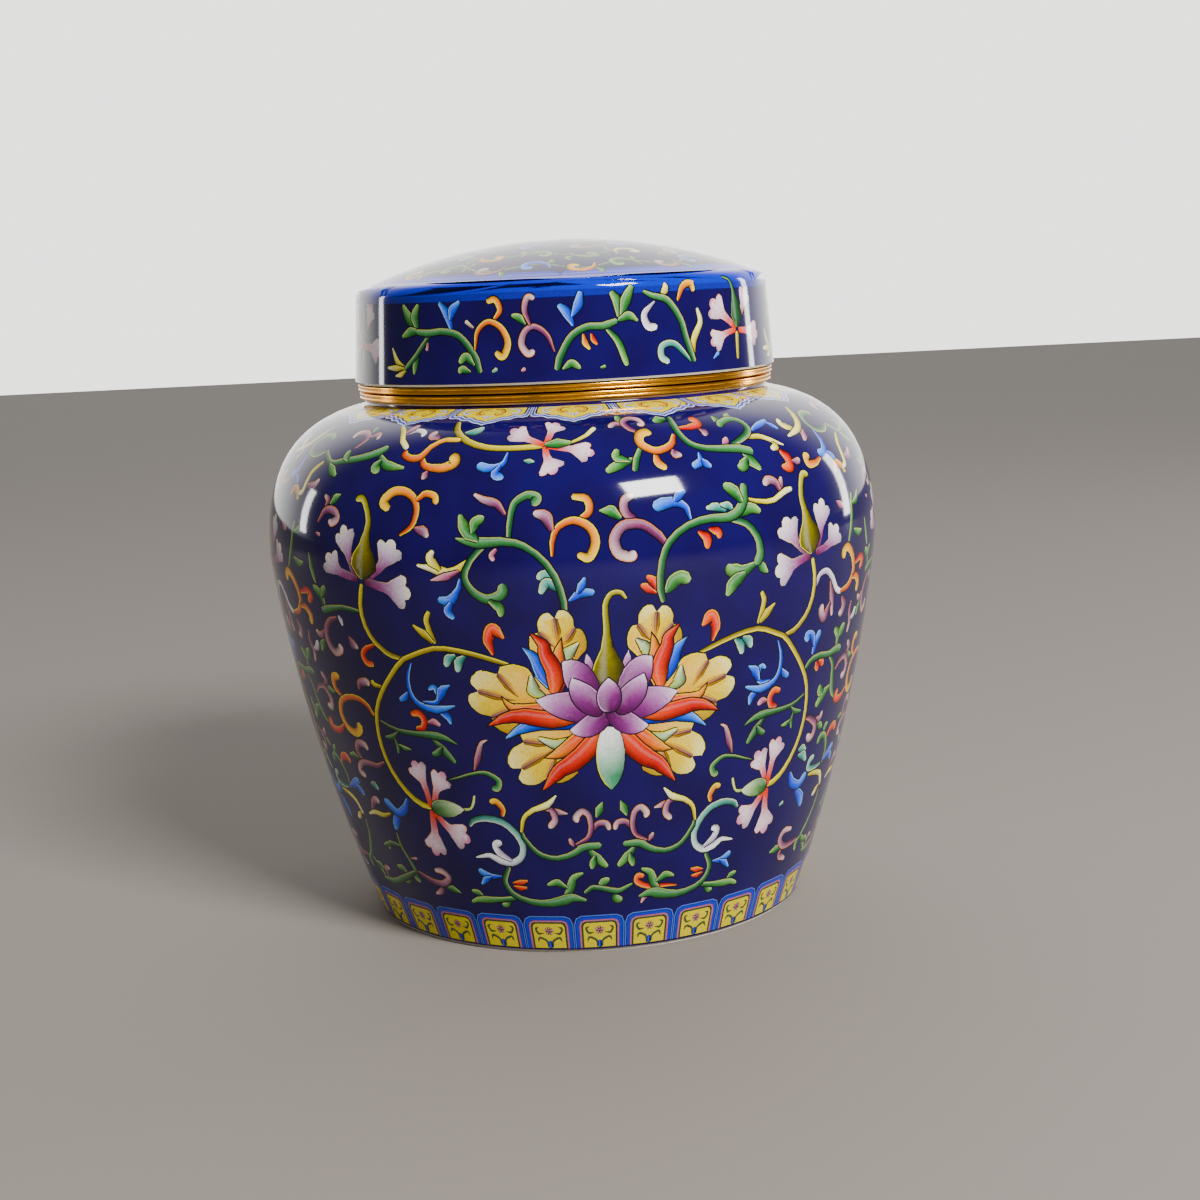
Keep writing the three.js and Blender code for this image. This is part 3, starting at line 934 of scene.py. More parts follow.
        lay(Ink.LEAF, (0.9, 1.5, 1.5, 0.8), 30, 92.6, 27.4, 90.6, 26.1, 87.6)
        lay(Ink.VINE, (0.8, 0.9, 1.0, 1.3), 27.1, 104.9, 30.4, 103.5, 32.5, 100.1, 32.9, 96.4, 31.9, 94)
        lay(Ink.LEAF, (0.9, 1.5, 1.6, 1.4), 14.9, 90, 16.4, 92.6, 18, 93.2, 19.1, 91.9)
        lay(Ink.VINE, (0.9, 0.9, 0.9, 0.9, 1.0, 1.2, 1.3), 14.6, 87.8, 14, 91.7, 14.4, 96.8, 15.6, 100.7,
            17.9, 103.5, 20.8, 105.1, 24.2, 105.6, 27.1, 105.4, 29.2, 106.6, 30.6, 109.1, 31.2, 112.6)
        lay(Ink.LEAF, (0.9, 1.5, 1.2), 30.2, 108.2, 29, 111, 27, 112.8)

    def shoulder_scrolls(self) -> None:
        """Lays the sprays that run around the shoulder under the cloud collar."""
        lay = self.lone
        lay(Ink.BLUE, (0.6, 0.9, 1.5), -11.2, 124.2, -12, 121, -14.6, 120, -16.8, 120.9)
        lay(Ink.BLUE, (0.7, 1.2, 1.0), -12.4, 120.6, -13.2, 118.4, -11.6, 117.6)
        lay(Ink.TEAL, (0.5, 0.8, 0.5), -8.3, 121.6, -6.2, 121.3)
        lay(Ink.TEAL, (0.7, 1.4, 1.0), -21.4, 130.6, -18.8, 131.2, -17.6, 132.8)
        lay(Ink.OCHRE, (1.0, 1.0, 0.9, 0.9), -24.6, 135.6, -23.3, 131.4, -20.4, 128, -16.2, 125.8,
            -11.2, 125.2, -4.6, 125.5)
        for width, spine in (
            (6.4, [(-4.4, 125.8), (-7.6, 127), (-11.6, 131.6)]),
            (6.6, [(-4.2, 126), (-3.6, 130), (-2, 133.6)]),
            (6.8, [(-4.4, 125.4), (-4.2, 122), (-2.6, 118)]),
            (5.8, [(-4, 125.2), (0, 124.8), (4.6, 122.6)]),
        ):
            placed = in_mm(spine, self.mm_per_degree)
            self.canvas.petal(Ink.BLOSSOM, Cut.FLARE, width, placed)
        lay(Ink.CREAM, (0.6, 0.7, 0.9), 0, 125.9, 3.3, 128, 5.6, 131)
        lay(Ink.LEAF, (0.9, 1.5, 0.9), -4.6, 125.8, -2.2, 126.2, 0.6, 126.2)
        lay(Ink.ORANGE, (0.9, 1.0, 1.3, 1.6), -28.4, 123.2, -27.1, 120.8, -23.7, 120.2, -21.4, 121.4,
            -21.6, 122.8, -22.6, 122.8)
        lay(Ink.CREAM, (0.8, 0.9, 0.9), -38.7, 133.6, -36.7, 131.4, -35, 128, -32.5, 125.4)
        lay(Ink.ORANGE, (0.9, 1.1, 0.9, 0.9), -32.4, 125.2, -32.6, 123.9, -30.8, 122.8, -28.7, 123.2,
            -27.4, 126, -25, 128.2, -21.4, 128.2)
        lay(Ink.PEARL, (0.8, 0.9, 1.0), -35.4, 130.3, -33, 131.8, -31, 130.8, -31, 129.4)
        lay(Ink.MAUVE, (0.9, 1.3, 0.9), -35.6, 130.4, -34.6, 132.6, -33.6, 134)
        lay(Ink.MAUVE, (0.8, 1.4, 1.2), -26.2, 128.8, -28.4, 129.8, -27.8, 131.3)
        lay(Ink.MAUVE, (0.7, 1.1, 0.7), -26.2, 119.6, -26.6, 118.4, -27.2, 117.4)
        lay(Ink.LEAF, (0.9, 1.3, 0.7), -38.6, 123.6, -35.8, 120.9, -31.4, 120.2)
        lay(Ink.LEAF, (0.8, 1.4, 1.2), -37.4, 122.4, -38.4, 120.4, -37, 119.2)
        lay(Ink.VINE, (0.9, 0.9, 1.1, 1.4), -56, 124.1, -52, 121, -48, 121.6, -43.7, 122.5, -39.6, 124.1,
            -37.4, 126)
        lay(Ink.LEAF, (0.8, 1.3, 0.8), -52, 120.6, -50, 118.8, -48.2, 117.6)
        lay(Ink.LEAF, (0.7, 1.3, 0.9), -46.6, 121.6, -47.8, 123.2, -47.6, 124.8)
        lay(Ink.MAUVE, (0.7, 1.0, 1.1, 1.1), -47, 125.2, -45.4, 128.4, -47.2, 130.5, -49.8, 130.3,
            -50.2, 128.4)
        lay(Ink.MAUVE, (0.6, 1.0, 0.9), -45.2, 128.8, -43, 130, -42, 128.2)
        lay(Ink.LEAF, (0.5, 1.0, 0.5), -45.6, 130.6, -45.4, 131.8, -45.8, 133)
        lay(Ink.LEAF, (0.8, 1.4, 0.8), 11.3, 132.3, 11, 134, 10.6, 135.5)
        lay(Ink.MAUVE, (0.7, 1.0, 1.0), 12, 130.6, 9.8, 131.8, 8.2, 130.6)
        lay(Ink.MAUVE, (0.8, 1.0, 1.0, 1.1), 14.2, 127.8, 12.2, 129.8, 11.5, 132.2, 12.9, 133.7,
            14.8, 133, 15.2, 131.2, 14.2, 130.9)
        lay(Ink.LEAF, (0.8, 1.3, 1.0), 12, 120.6, 9.2, 119.8, 6.2, 117.8)
        lay(Ink.LEAF, (0.7, 1.2, 1.0), 10.8, 120.2, 8.5, 121.4, 8.9, 123.6)
        lay(Ink.VINE, (1.0, 0.9, 0.9), 11.3, 117.4, 12.1, 120.8, 13.3, 123.6)
        lay(Ink.ORANGE, (0.8, 1.1, 1.1), 15.8, 122, 15.8, 119.4, 17.2, 117.6)
        lay(Ink.ORANGE, (0.8, 1.0, 1.1, 1.3, 1.4), 20.8, 126.9, 19.6, 124.1, 17.5, 122.6, 15.4, 122.6,
            13.5, 124.7, 13.8, 127.2, 15.2, 128.1, 16.3, 127.4)
        lay(Ink.MAUVE, (0.6, 1.2, 0.8), 19.4, 122.6, 19.4, 121.2, 20.8, 120.6)
        lay(Ink.LEAF, (0.9, 1.6, 0.8), 21, 132.4, 19.4, 132.4, 17.8, 131.6)
        lay(Ink.RED, (0.8, 1.0, 1.3, 1.3), 22.1, 128.6, 25, 128.6, 27, 129.4, 27, 131.2, 25.8, 131.3)
        lay(Ink.MAUVE, (0.6, 1.2, 0.9), 26.6, 128, 27.4, 126.6, 26.8, 125.4)
        lay(Ink.PINK, (0.6, 1.0, 0.7), 29.8, 122.4, 31, 123.6, 31.4, 124.6)
        lay(Ink.BLUE, (0.6, 1.1, 1.2), 24.2, 121.2, 24, 118.8, 22, 117.6)
        lay(Ink.BLUE, (0.6, 1.1, 0.8), 24.2, 119.4, 24.9, 117.9, 25.8, 117)
        lay(Ink.CREAM, (0.7, 0.9, 0.9, 0.5), 35.8, 123.6, 39.2, 123.6, 41.7, 122, 44.2, 120.4)
        lay(Ink.CREAM, (0.6, 1.1, 0.9), 41.5, 121.9, 41.9, 120.4, 40.2, 119.8)
        lay(Ink.RED, (0.9, 1.4, 1.4, 1.0), 42.1, 119.4, 43.4, 117.2, 43, 114.9, 41, 115.2)
        lay(Ink.MAUVE, (0.6, 1.0, 0.9), 44, 116.2, 45.4, 115.9, 46.6, 116.6)
        lay(Ink.BLUE, (0.6, 1.0, 1.0), 37.7, 125.2, 40.8, 126.8, 44.6, 128.2)
        lay(Ink.BLUE, (0.6, 1.0, 0.6), 43.6, 127.6, 44.8, 126.2, 45.8, 124.9)
        lay(Ink.LEAF, (0.8, 1.3, 0.8), 32.8, 129.4, 32, 130.6, 31.7, 132)
        lay(Ink.LEAF, (0.7, 1.2, 0.6), 34.6, 130.2, 35.6, 131.2, 36.4, 132.4)
        lay(Ink.VINE, (0.8, 1.0, 1.0, 1.1), 31.7, 122.2, 35.8, 124.1, 37.8, 126.4, 37.4, 129, 35.4, 130.2,
            32.7, 129.3, 31.4, 127.8)
        lay(Ink.LEAF, (0.9, 1.5, 0.9), 33.3, 120.2, 34.4, 117.6, 36, 115.1)
        lay(Ink.LEAF, (0.8, 1.4, 1.2), 33.8, 118.6, 32.2, 116.5, 31, 116.6)
        lay(Ink.VINE, (1.1, 1.0, 0.9, 1.1, 1.3), 21.9, 133.4, 21.7, 128, 22.8, 124.1, 25.2, 122.2,
            29.2, 121.4, 32.5, 121.1, 35.8, 119.8)
        lay(Ink.PINK, (0.7, 1.2, 0.7), 53.3, 124.1, 52, 122, 50.8, 120.6)
        lay(Ink.CREAM, (0.8, 1.4, 1.0), 50.6, 124.2, 47.9, 126.2, 48.4, 128.2)
        lay(Ink.CREAM, (1.0, 1.1, 1.0, 0.6), 56.6, 132, 54.8, 127.8, 51.9, 124.4, 46.8, 122.5)
        lay(Ink.ORANGE, (0.7, 0.9, 1.2, 1.1), 53.2, 115.9, 50.8, 114.8, 48.6, 114.9, 48.6, 116.6,
            49.8, 117)
        lay(Ink.BLUE, (0.7, 1.1, 1.4), 56.7, 123.6, 56.8, 119.7, 55.4, 117, 53, 117)
        lay(Ink.BLUE, (0.7, 1.1, 0.7), 56.2, 117, 57.4, 115.8, 58.6, 114.8)
        lay(Ink.VINE, (0.9, 0.9, 1.0, 1.1), 64, 124, 60.8, 122.6, 57.8, 123.2, 56.6, 125.6, 57.9, 128.2,
            60.6, 128.8, 62.6, 127.6)
        lay(Ink.CREAM, (0.8, 0.9, 0.9), 65.8, 121, 63, 118, 62, 113.4, 60.2, 112.4)
        lay(Ink.MAUVE, (0.7, 1.2, 1.0), 62.6, 114.8, 65.6, 114.8, 67, 116.6)

    def strip_scrolls(self) -> None:
        """Lays the scrolls between one lotus panel and the next."""
        lay = self.lone
        lay(Ink.MAUVE, (0.8, 1.1, 0.8), 51.7, 87, 52.6, 82.8, 53.3, 77.6)
        lay(Ink.MAUVE, (0.8, 1.4, 1.2), 52.4, 81.6, 50.6, 78, 49.4, 79.8, 49.8, 81.4)
        lay(Ink.PEARL, (0.8, 0.9, 0.9), 46.9, 86.2, 47.9, 88.7, 50, 89.3, 52.1, 87.4, 54.2, 84,
            56.7, 82.9)
        lay(Ink.ORANGE, (0.8, 1.0, 1.0, 1.1, 1.3), 55.6, 83.2, 58.8, 83.9, 60.6, 86.2, 60.8, 88.6,
            59.6, 91.6, 57.5, 93.6, 55.9, 92.8, 56.2, 91)
        lay(Ink.ORANGE, (0.8, 1.1, 1.2), 60.2, 85.6, 62.4, 85.7, 64, 83.8, 63.6, 81.4)
        lay(Ink.RED, (0.8, 1.1, 1.2), 61.2, 89, 64, 90, 65.6, 88.8, 64.2, 87)
        lay(Ink.MAUVE, (0.7, 1.4, 1.1), 56.6, 82, 57.9, 79.8, 57.2, 77.8, 56, 77.8)
        lay(Ink.MAUVE, (0.8, 1.0, 0.8), 61.8, 79.8, 61.3, 77.2, 62.1, 74.4, 61.3, 71.6)
        lay(Ink.PEARL, (0.7, 1.1, 1.1), 62.2, 75, 63.8, 75.8, 64.6, 77.6)
        lay(Ink.LEAF, (0.8, 0.9, 0.7), 57.9, 94.6, 59.6, 99.6, 60, 103, 60.8, 106.2)
        lay(Ink.LEAF, (0.7, 1.1, 0.6), 60.2, 97.3, 62.4, 96.2, 64.4, 96.6)
        lay(Ink.LEAF, (0.7, 1.1, 0.6), 60.6, 103.4, 62.8, 104.2, 64, 106.4)
        lay(Ink.ORANGE, (0.7, 1.1, 1.0), 56.4, 111.4, 58, 113.8, 60, 112.6, 60.6, 110.8)
        lay(Ink.PINK, (0.6, 1.1, 0.8), 54.2, 105, 55.4, 104, 57, 103.6)
        lay(Ink.BLUE, (0.8, 1.1, 1.4), 48.2, 69.2, 48.7, 72.4, 50, 75)
        lay(Ink.BLUE, (0.7, 1.1, 1.3), 48.3, 71.2, 47.5, 74.2, 45.9, 74.6, 46.2, 73)
        lay(Ink.RED, (0.6, 1.1, 0.9), 49.8, 67.4, 50.4, 65.8, 50.7, 64.6)
        lay(Ink.RED, (0.6, 1.1, 0.9), 50.6, 67.2, 51.8, 66.6, 52.3, 65.4)
        lay(Ink.LEAF, (0.8, 1.4, 1.1), 57, 69.2, 57.2, 72.2, 55.2, 74.2)
        lay(Ink.LEAF, (0.8, 1.5, 1.1), 57.5, 71.4, 58.6, 73.2, 59.6, 74.6)
        lay(Ink.LEAF, (0.8, 1.4, 1.2), 57.4, 59.6, 54.4, 57.8, 52.1, 55.2)
        lay(Ink.LEAF, (0.8, 1.4, 1.1), 54.4, 58, 52.9, 59.2, 52.5, 60.8)
        lay(Ink.VINE, (0.8, 0.9, 1.2, 0.7), 54.6, 67.7, 56.7, 64.9, 57.5, 60.5, 58.3, 57.7, 59.8, 55.7)
        lay(Ink.VINE, (0.8, 0.9, 0.9, 1.3), 45.8, 65.5, 47.9, 67.9, 50.8, 68.6, 54.2, 68.1, 57.5, 68.7,
            59.3, 68.2)
        lay(Ink.LEAF, (0.7, 1.2, 0.5), 63, 65.2, 64.6, 65.2, 66.6, 64.9)
        lay(Ink.MAUVE, (0.7, 1.1, 1.0), 62.9, 65.5, 64.1, 67.6, 62.6, 69.3)
        lay(Ink.MAUVE, (0.8, 0.9, 1.1, 1.2), 57.9, 63.2, 59.6, 65.1, 62.5, 65.6, 64.3, 62.9, 63.5, 60.5,
            61.9, 60.9)
        lay(Ink.LEAF, (0.6, 1.2, 0.5), 54.2, 50.4, 55.4, 49.7, 56.7, 48.7)
        lay(Ink.MAUVE, (0.7, 1.0, 1.0), 52.2, 51.8, 54.8, 51.6, 55.5, 53.4)
        lay(Ink.MAUVE, (0.8, 1.0, 1.1, 1.2), 49, 53.2, 50.8, 52.7, 53.2, 50.5, 53.2, 48, 51.8, 47.2,
            50.7, 48.6)
        lay(Ink.TEAL, (0.7, 1.2, 0.8), 48.4, 44.9, 49.8, 45.2, 51.4, 44.2)
        lay(Ink.TEAL, (0.7, 1.3, 0.8), 48.6, 43.5, 50.6, 43.2, 52.2, 41.3)
        lay(Ink.TEAL, (0.7, 0.8, 1.0, 1.2), 60, 38.6, 56.7, 38.2, 54, 38.9, 54.2, 40.8, 55.8, 41.5)
        lay(Ink.LEAF, (0.6, 1.1, 1.1), 58.2, 46.6, 58.5, 48.4, 59.4, 49.4)
        lay(Ink.VINE, (0.8, 0.9, 1.0, 1.2), 60.6, 38.1, 60.9, 42, 59.2, 45.7, 57.1, 46.3, 56, 44.5)
        lay(Ink.RED, (0.7, 1.2, 1.3), 60.4, 45, 61.7, 47, 63.7, 47.4, 65, 46)
        lay(Ink.BLUE, (0.7, 1.3, 1.3), 60.8, 38.9, 63.8, 40.2, 66.2, 41.8)
        lay(Ink.BLUE, (0.7, 1.2, 0.9), 64, 40, 65.6, 39, 66.6, 37.4)
        lay(Ink.CREAM, (0.6, 1.1, 0.7), 62.3, 32.2, 60.8, 30.8, 59.2, 29.9)
        lay(Ink.CREAM, (0.7, 0.8, 0.9, 0.9), 54.6, 36.8, 57.9, 36.5, 61.3, 35.2, 63.1, 31.6)
        lay(Ink.BLUE, (0.8, 1.4, 1.7, 1.2), 50.2, 34.2, 53, 31.4, 54.2, 28.6)
        lay(Ink.BLUE, (0.9, 1.4, 1.3, 1.4), 46.8, 39.8, 48.3, 36.6, 51.3, 35.4, 53.6, 37.8)
        lay(Ink.TEAL, (0.7, 0.9), 45.2, 31.2, 46.6, 32.2)
        lay(Ink.LEAF, (0.8, 1.2, 0.7), 58.4, 19.4, 61.4, 16.6, 63.3, 13.6)
        lay(Ink.LEAF, (0.7, 1.1, 0.6), 60, 17.6, 62.2, 17.4, 64.2, 16.3)
        lay(Ink.LEAF, (0.7, 1.2, 0.8), 58.6, 19.2, 57, 17.6, 57.4, 15.4)
        lay(Ink.VINE, (0.8, 0.9, 1.0), 63.3, 30.6, 62.9, 26.4, 60.4, 21.6, 58.3, 19)
        lay(Ink.LEAF, (0.6, 1.2, 0.5), 49.8, 18.6, 47.4, 18.9, 45.2, 18.5)
        lay(Ink.MAUVE, (0.7, 1.1, 0.7), 50.4, 18.6, 49.8, 16.4, 52.8, 14.6)
        lay(Ink.MAUVE, (0.8, 1.0, 1.1, 1.0), 56.7, 19.1, 53.8, 18.7, 50.4, 18.9, 48.5, 21.2, 49.6, 23.3,
            52.6, 23)
        self.left_strip()

    def left_strip(self) -> None:
        """Lays the half of the strip that borders the panel's left side."""
        lay = self.lone
        lay(Ink.MAUVE, (0.6, 1.0, 0.8), -49, 110, -48.4, 111.8, -49.8, 113)
        lay(Ink.LEAF, (0.7, 1.2, 0.5), -47.6, 110.8, -46.4, 112.4, -45, 113.4)
        lay(Ink.MAUVE, (0.7, 1.0, 1.1, 1.1), -50.7, 106.3, -48.8, 109.3, -46.3, 109.5, -45.1, 107.9,
            -46.4, 106.7, -47.5, 107.2)
        lay(Ink.PINK, (0.6, 0.9), -51.2, 104, -49.6, 103.6)
        lay(Ink.LEAF, (0.7, 1.0, 0.6), -53.4, 99.4, -52.6, 95, -51.8, 92)
        lay(Ink.LEAF, (0.8, 1.4, 0.9), -50.2, 86.4, -51, 89.6, -53.2, 91.4)
        lay(Ink.LEAF, (0.7, 1.2, 0.9), -50.8, 88.8, -50, 90.4, -49, 91.8)
        lay(Ink.VINE, (0.7, 0.8, 1.2), -40.6, 86.6, -44.9, 87.1, -48.7, 86.4, -51.4, 85.6)
        lay(Ink.LEAF, (0.7, 1.3, 0.6), -52.4, 78.5, -53.6, 77, -54.6, 75)
        lay(Ink.MAUVE, (0.7, 1.0, 1.0), -51.2, 81, -53.6, 79.2, -55.2, 80.4)
        lay(Ink.MAUVE, (0.8, 1.1, 1.1, 1.2), -47, 84.4, -49.5, 83.3, -51.2, 80.8, -51.3, 77.8,
            -49.8, 75.6, -47.9, 76.4, -48, 78)
        lay(Ink.PEARL, (0.6, 0.9, 0.6), -46.6, 85.2, -46, 84, -45.8, 82.4)
        lay(Ink.MAUVE, (0.7, 1.4, 0.8), -44.8, 80.2, -44, 78.4, -42.6, 77.4)
        lay(Ink.MAUVE, (0.7, 1.2, 1.2), -44.9, 66.8, -44.4, 68.6, -42.4, 69.2, -41.9, 68.2)
        lay(Ink.ORANGE, (0.8, 1.1, 1.3), -51, 64.2, -52.8, 66.2, -52.5, 68.8, -50.4, 69.4)
        lay(Ink.ORANGE, (0.8, 0.9, 1.0, 1.1, 1.4), -42.4, 60.5, -43.7, 63.2, -46.2, 64.6, -49.5, 64.3,
            -52, 62.6, -53, 59.3, -51.9, 56.2, -49.5, 55.2, -47.8, 56.6, -48.2, 58)
        lay(Ink.RED, (0.8, 1.0, 1.2, 1.2), -52.8, 56.7, -55.3, 54.8, -57.6, 54.5, -59.3, 55.6,
            -58.3, 57.3)
        lay(Ink.LEAF, (0.5, 1.0, 0.5), -50.8, 48.2, -52.6, 48.9, -54.4, 48.7)
        lay(Ink.MAUVE, (0.8, 1.1, 1.2), -49.3, 47.7, -50.7, 50.3, -49.8, 52.3, -47.8, 52.4, -46.8, 51.2)
        lay(Ink.MAUVE, (0.7, 0.9, 1.0, 1.2), -42.6, 48.7, -45.3, 47.3, -49.1, 47.5, -51.2, 46.4,
            -51.8, 44.5, -50.2, 43.6)
        lay(Ink.TEAL, (0.7, 1.2, 0.8), -49.4, 41.8, -48.2, 41.7, -46.9, 40.6)
        lay(Ink.MAUVE, (0.7, 1.1, 1.2), -52, 33.8, -50.8, 36.3, -49.2, 37.5, -48.1, 36.9)
        lay(Ink.CREAM, (0.6, 0.9, 0.6), -45.2, 34.6, -48, 33.5, -51.2, 33.7, -54, 32.6)
        lay(Ink.BLUE, (0.8, 1.4, 1.4, 0.9), -42.2, 35.4, -44.4, 32.2, -45.2, 30)
        lay(Ink.BLUE, (0.9, 1.3, 1.2, 1.4), -38.7, 39.8, -40.3, 36.7, -42.8, 35.2, -44.8, 37, -46.2, 38.2)
        lay(Ink.LEAF, (0.6, 1.0, 0.6), -47.6, 25.6, -49.4, 25.2, -50.2, 23.4)
        lay(Ink.VINE, (0.6, 0.8, 0.6), -44.9, 25.4, -48.6, 25.8, -52, 24.4)
        lay(Ink.PINK, (0.5, 0.8), -43.2, 22.6, -40.9, 23)
        lay(Ink.VINE, (0.7, 0.8, 0.9), -45.2, 29.6, -44.9, 25.3, -43.3, 21.4, -42.6, 18.6)
        lay(Ink.LEAF, (0.7, 1.2, 0.9), -42.7, 19, -43.2, 17.4, -42.2, 16)
        lay(Ink.LEAF, (0.7, 1.2, 0.8), -46, 17, -47.4, 18.8, -49.4, 19.2)
        lay(Ink.LEAF, (0.7, 1.2, 0.8), -44.9, 17.8, -46.4, 15.9, -48, 14.8)
        lay(Ink.VINE, (0.8, 1.0, 1.0, 0.7), -42.8, 19, -46.2, 17, -48.7, 15.8, -51.2, 14.5, -54.1, 13.7,
            -58, 13.8)
        lay(Ink.MAUVE, (0.7, 1.1, 1.0), -55.4, 14.2, -55.2, 16.8, -53.4, 17.4)
        lay(Ink.LEAF, (0.6, 1.1, 0.5), -34.7, 16.2, -32.8, 16, -30.6, 15)
        lay(Ink.MAUVE, (0.7, 1.1, 0.6), -35.9, 16.8, -36, 14.8, -38.4, 13.6)
        lay(Ink.MAUVE, (0.7, 1.0, 1.1, 1.0), -42.2, 19.2, -40, 18, -37.6, 17, -34.8, 17.1, -33, 19,
            -34.4, 20.6, -36.6, 20.6)
        lay(Ink.PINK, (0.7, 1.0, 0.5), 13.4, 16.2, 12.2, 14.4, 11.2, 12.2)
        lay(Ink.RED, (0.5, 0.7, 0.9, 1.0), 19.6, 16.1, 16.7, 16.6, 12.9, 16.8, 10.3, 18.4, 10.4, 20,
            11.8, 19.8)
        lay(Ink.LEAF, (0.7, 1.2, 1.1), 3.8, 17.2, 2.6, 18.8, 4.2, 20)
        lay(Ink.LEAF, (0.7, 1.2, 1.2), 5.8, 16.4, 5.4, 14.4, 7, 13.8)
        lay(Ink.VINE, (0.8, 0.8, 0.9, 0.5), -1.5, 16.2, 0.4, 17.8, 3, 17.3, 5.8, 16.4, 7.6, 17, 9.3, 18.2)

    def lappets(self) -> None:
        """Lays the band of lappets around the foot."""
        first = 3.3
        for number in range(-5, 5):
            self.lappet(first + number * LAPPET_PITCH)

    def lappet(self, turn: float) -> None:
        """Lays one lappet of the foot band, centred on a turn to the left of the axis.

        Args:
            turn: Degrees to the left of the lotus axis.
        """
        middle = self.place([(turn, 5.0)], False)[0][0]
        layers = [
            (Ink.LAPPET_SKY, 8.0, 9.95, 2.4),
            (Ink.LAPPET_BLUE, 7.6, 9.6, 2.2),
            (Ink.LAPPET_PINK, 6.4, 8.7, 1.7),
            (Ink.LAPPET_DARK, 5.7, 8.2, 1.3),
            (Ink.LAPPET_YELLOW, 5.4, 7.9, 1.2),
        ]
        for ink, half, top, corner in layers:
            edge = [(-half, 0.35), (half, 0.35), (half, top - corner),
                    (half - 0.3 * corner, top - 0.3 * corner), (half - corner, top),
                    (corner - half, top), (0.3 * corner - half, top - 0.3 * corner),
                    (-half, top - corner)]
            self.canvas.panel(ink, [(middle + x, y) for x, y in edge], (middle, 4.5))
        for way in (-1, 1):
            for curl in ([(0.9, 0.5), (1, 2.6), (3.2, 3.6), (4.0, 2.2)],
                         [(1.4, 5.0), (3.4, 4.8), (4.2, 6.2), (3.0, 6.8)]):
                placed = [(middle + way * x, y) for x, y in curl]
                self.canvas.stroke(Ink.LAPPET_DARK, placed, (0.3, 0.3))
        self.canvas.stroke(Ink.LAPPET_BLUE, [(middle, 0.4), (middle, 2.8)], (0.9, 0.7))
        for petal in range(5):
            angle = math.radians(90 + 72 * petal)
            tip = (middle + 1.5 * math.cos(angle), 5.6 + 1.3 * math.sin(angle))
            self.canvas.stroke(Ink.MAUVE, [(middle, 5.6), tip], (0.4, 0.6))

    def clouds(self) -> None:
        """Lays the cloud collar under the neck."""
        first = 3.5
        for number in range(-3, 3):
            self.cloud(first + number * CLOUD_PITCH)

    def cloud(self, turn: float) -> None:
        """Lays one cloud of the collar, its tip at a turn to the left of the axis.

        Args:
            turn: Degrees to the left of the lotus axis.
        """
        middle = self.place([(turn, 140.0)], False)[0][0]
        top = 143.85
        pitch = CLOUD_PITCH * self.mm_per_degree
        scallops = [(0.5, 138.4), (0.49, 137.4), (0.44, 136.9), (0.38, 137.1), (0.35, 136.9),
                    (0.29, 135.9), (0.22, 135.9), (0.19, 135.7), (0.12, 134.6), (0.05, 134.2),
                    (0, 133.5)]
        for ink, inset in ((Ink.CLOUD_WHITE, 0.0), (Ink.CLOUD_BLUE, 0.5),
                           (Ink.CLOUD_WHITE, 1.0), (Ink.CLOUD_BLUE, 1.5), (Ink.CLOUD_YELLOW, 1.7)):
            half = pitch / 2 - inset * 0.9
            left = [(middle - x * 2 * half, y + inset) for x, y in scallops]
            right = [(middle + x * 2 * half, y + inset) for x, y in reversed(scallops[:-1])]
            outline = [(middle - half, top), *left, *right, (middle + half, top)]
            self.canvas.panel(ink, outline, (middle, 141.5))
        for way in (-1, 1):
            for ink, half, curl in (
                (Ink.CLOUD_AMBER, (0.4, 0.6, 0.5),
                 [(0.6, 142.8), (3.2, 142.6), (4.4, 140.6), (3.0, 139.0), (1.6, 140.2)]),
                (Ink.CLOUD_WHITE, (0.4, 0.55, 0.4),
                 [(5.4, 142.8), (8.4, 142.6), (9.6, 140.8), (8.0, 139.6), (6.8, 140.6)]),
                (Ink.CLOUD_WHITE, (0.4, 0.6), [(0.4, 137.6), (1.9, 138.4)]),
            ):
                self.canvas.stroke(ink, [(middle + way * x, y) for x, y in curl], half)
        self.canvas.stroke(Ink.CLOUD_WHITE, [(middle, 136.4), (middle, 138.4)], (0.4, 0.5))

    def sheet(self) -> Sheet:
        """Cuts the repeat, with even rows at its upper and lower ends.

        Returns:
            The cut repeat.
        """
        left = self.canvas.start
        right = left + self.canvas.wrap
        low = float(self.outline.run[0])
        high = float(self.outline.run[-1])
        return self.canvas.cut(*grid(left, right, low, high, TILE_SEGMENTS))

    def skin(self) -> "Skin":
        """Wraps the cut repeat around the body as many times as it repeats.

        Returns:
            The skin of the body.
        """
        sheet = self.sheet()
        angles = sheet.spots[:, 0] / self.mm_per_degree
        radius, height = self.outline.at(sheet.spots[:, 1])
        return wrapped(sheet, angles, radius, height)


def grid(left: float, right: float, low: float, high: float,
         columns: int) -> tuple[np.ndarray, np.ndarray]:
    """Spreads even places over a rectangle and its border.

    Args:
        left: Left edge in mm.
        right: Right edge in mm.
        low: Lower edge in mm.
        high: Upper edge in mm.
        columns: Number of equal parts of the upper and lower edges.

    Returns:
        The border places, anticlockwise, and those inside.
    """
    across = np.linspace(left, right, columns + 1)
    rows = max(2, round((high - low) / GRID_STEP))
    up = np.linspace(low, high, rows + 1)
    border = np.array(
        [(x, low) for x in across[:-1]] + [(right, y) for y in up[:-1]]
        + [(x, high) for x in across[:0:-1]] + [(left, y) for y in up[:0:-1]]
    )
    inside = []
    for number, y in enumerate(up[1:-1]):
        shift = 0.5 if number % 2 else 0.0
        inside += [(x + shift * (across[1] - across[0]), y) for x in across[1:-1]]
    return border, np.array(inside)


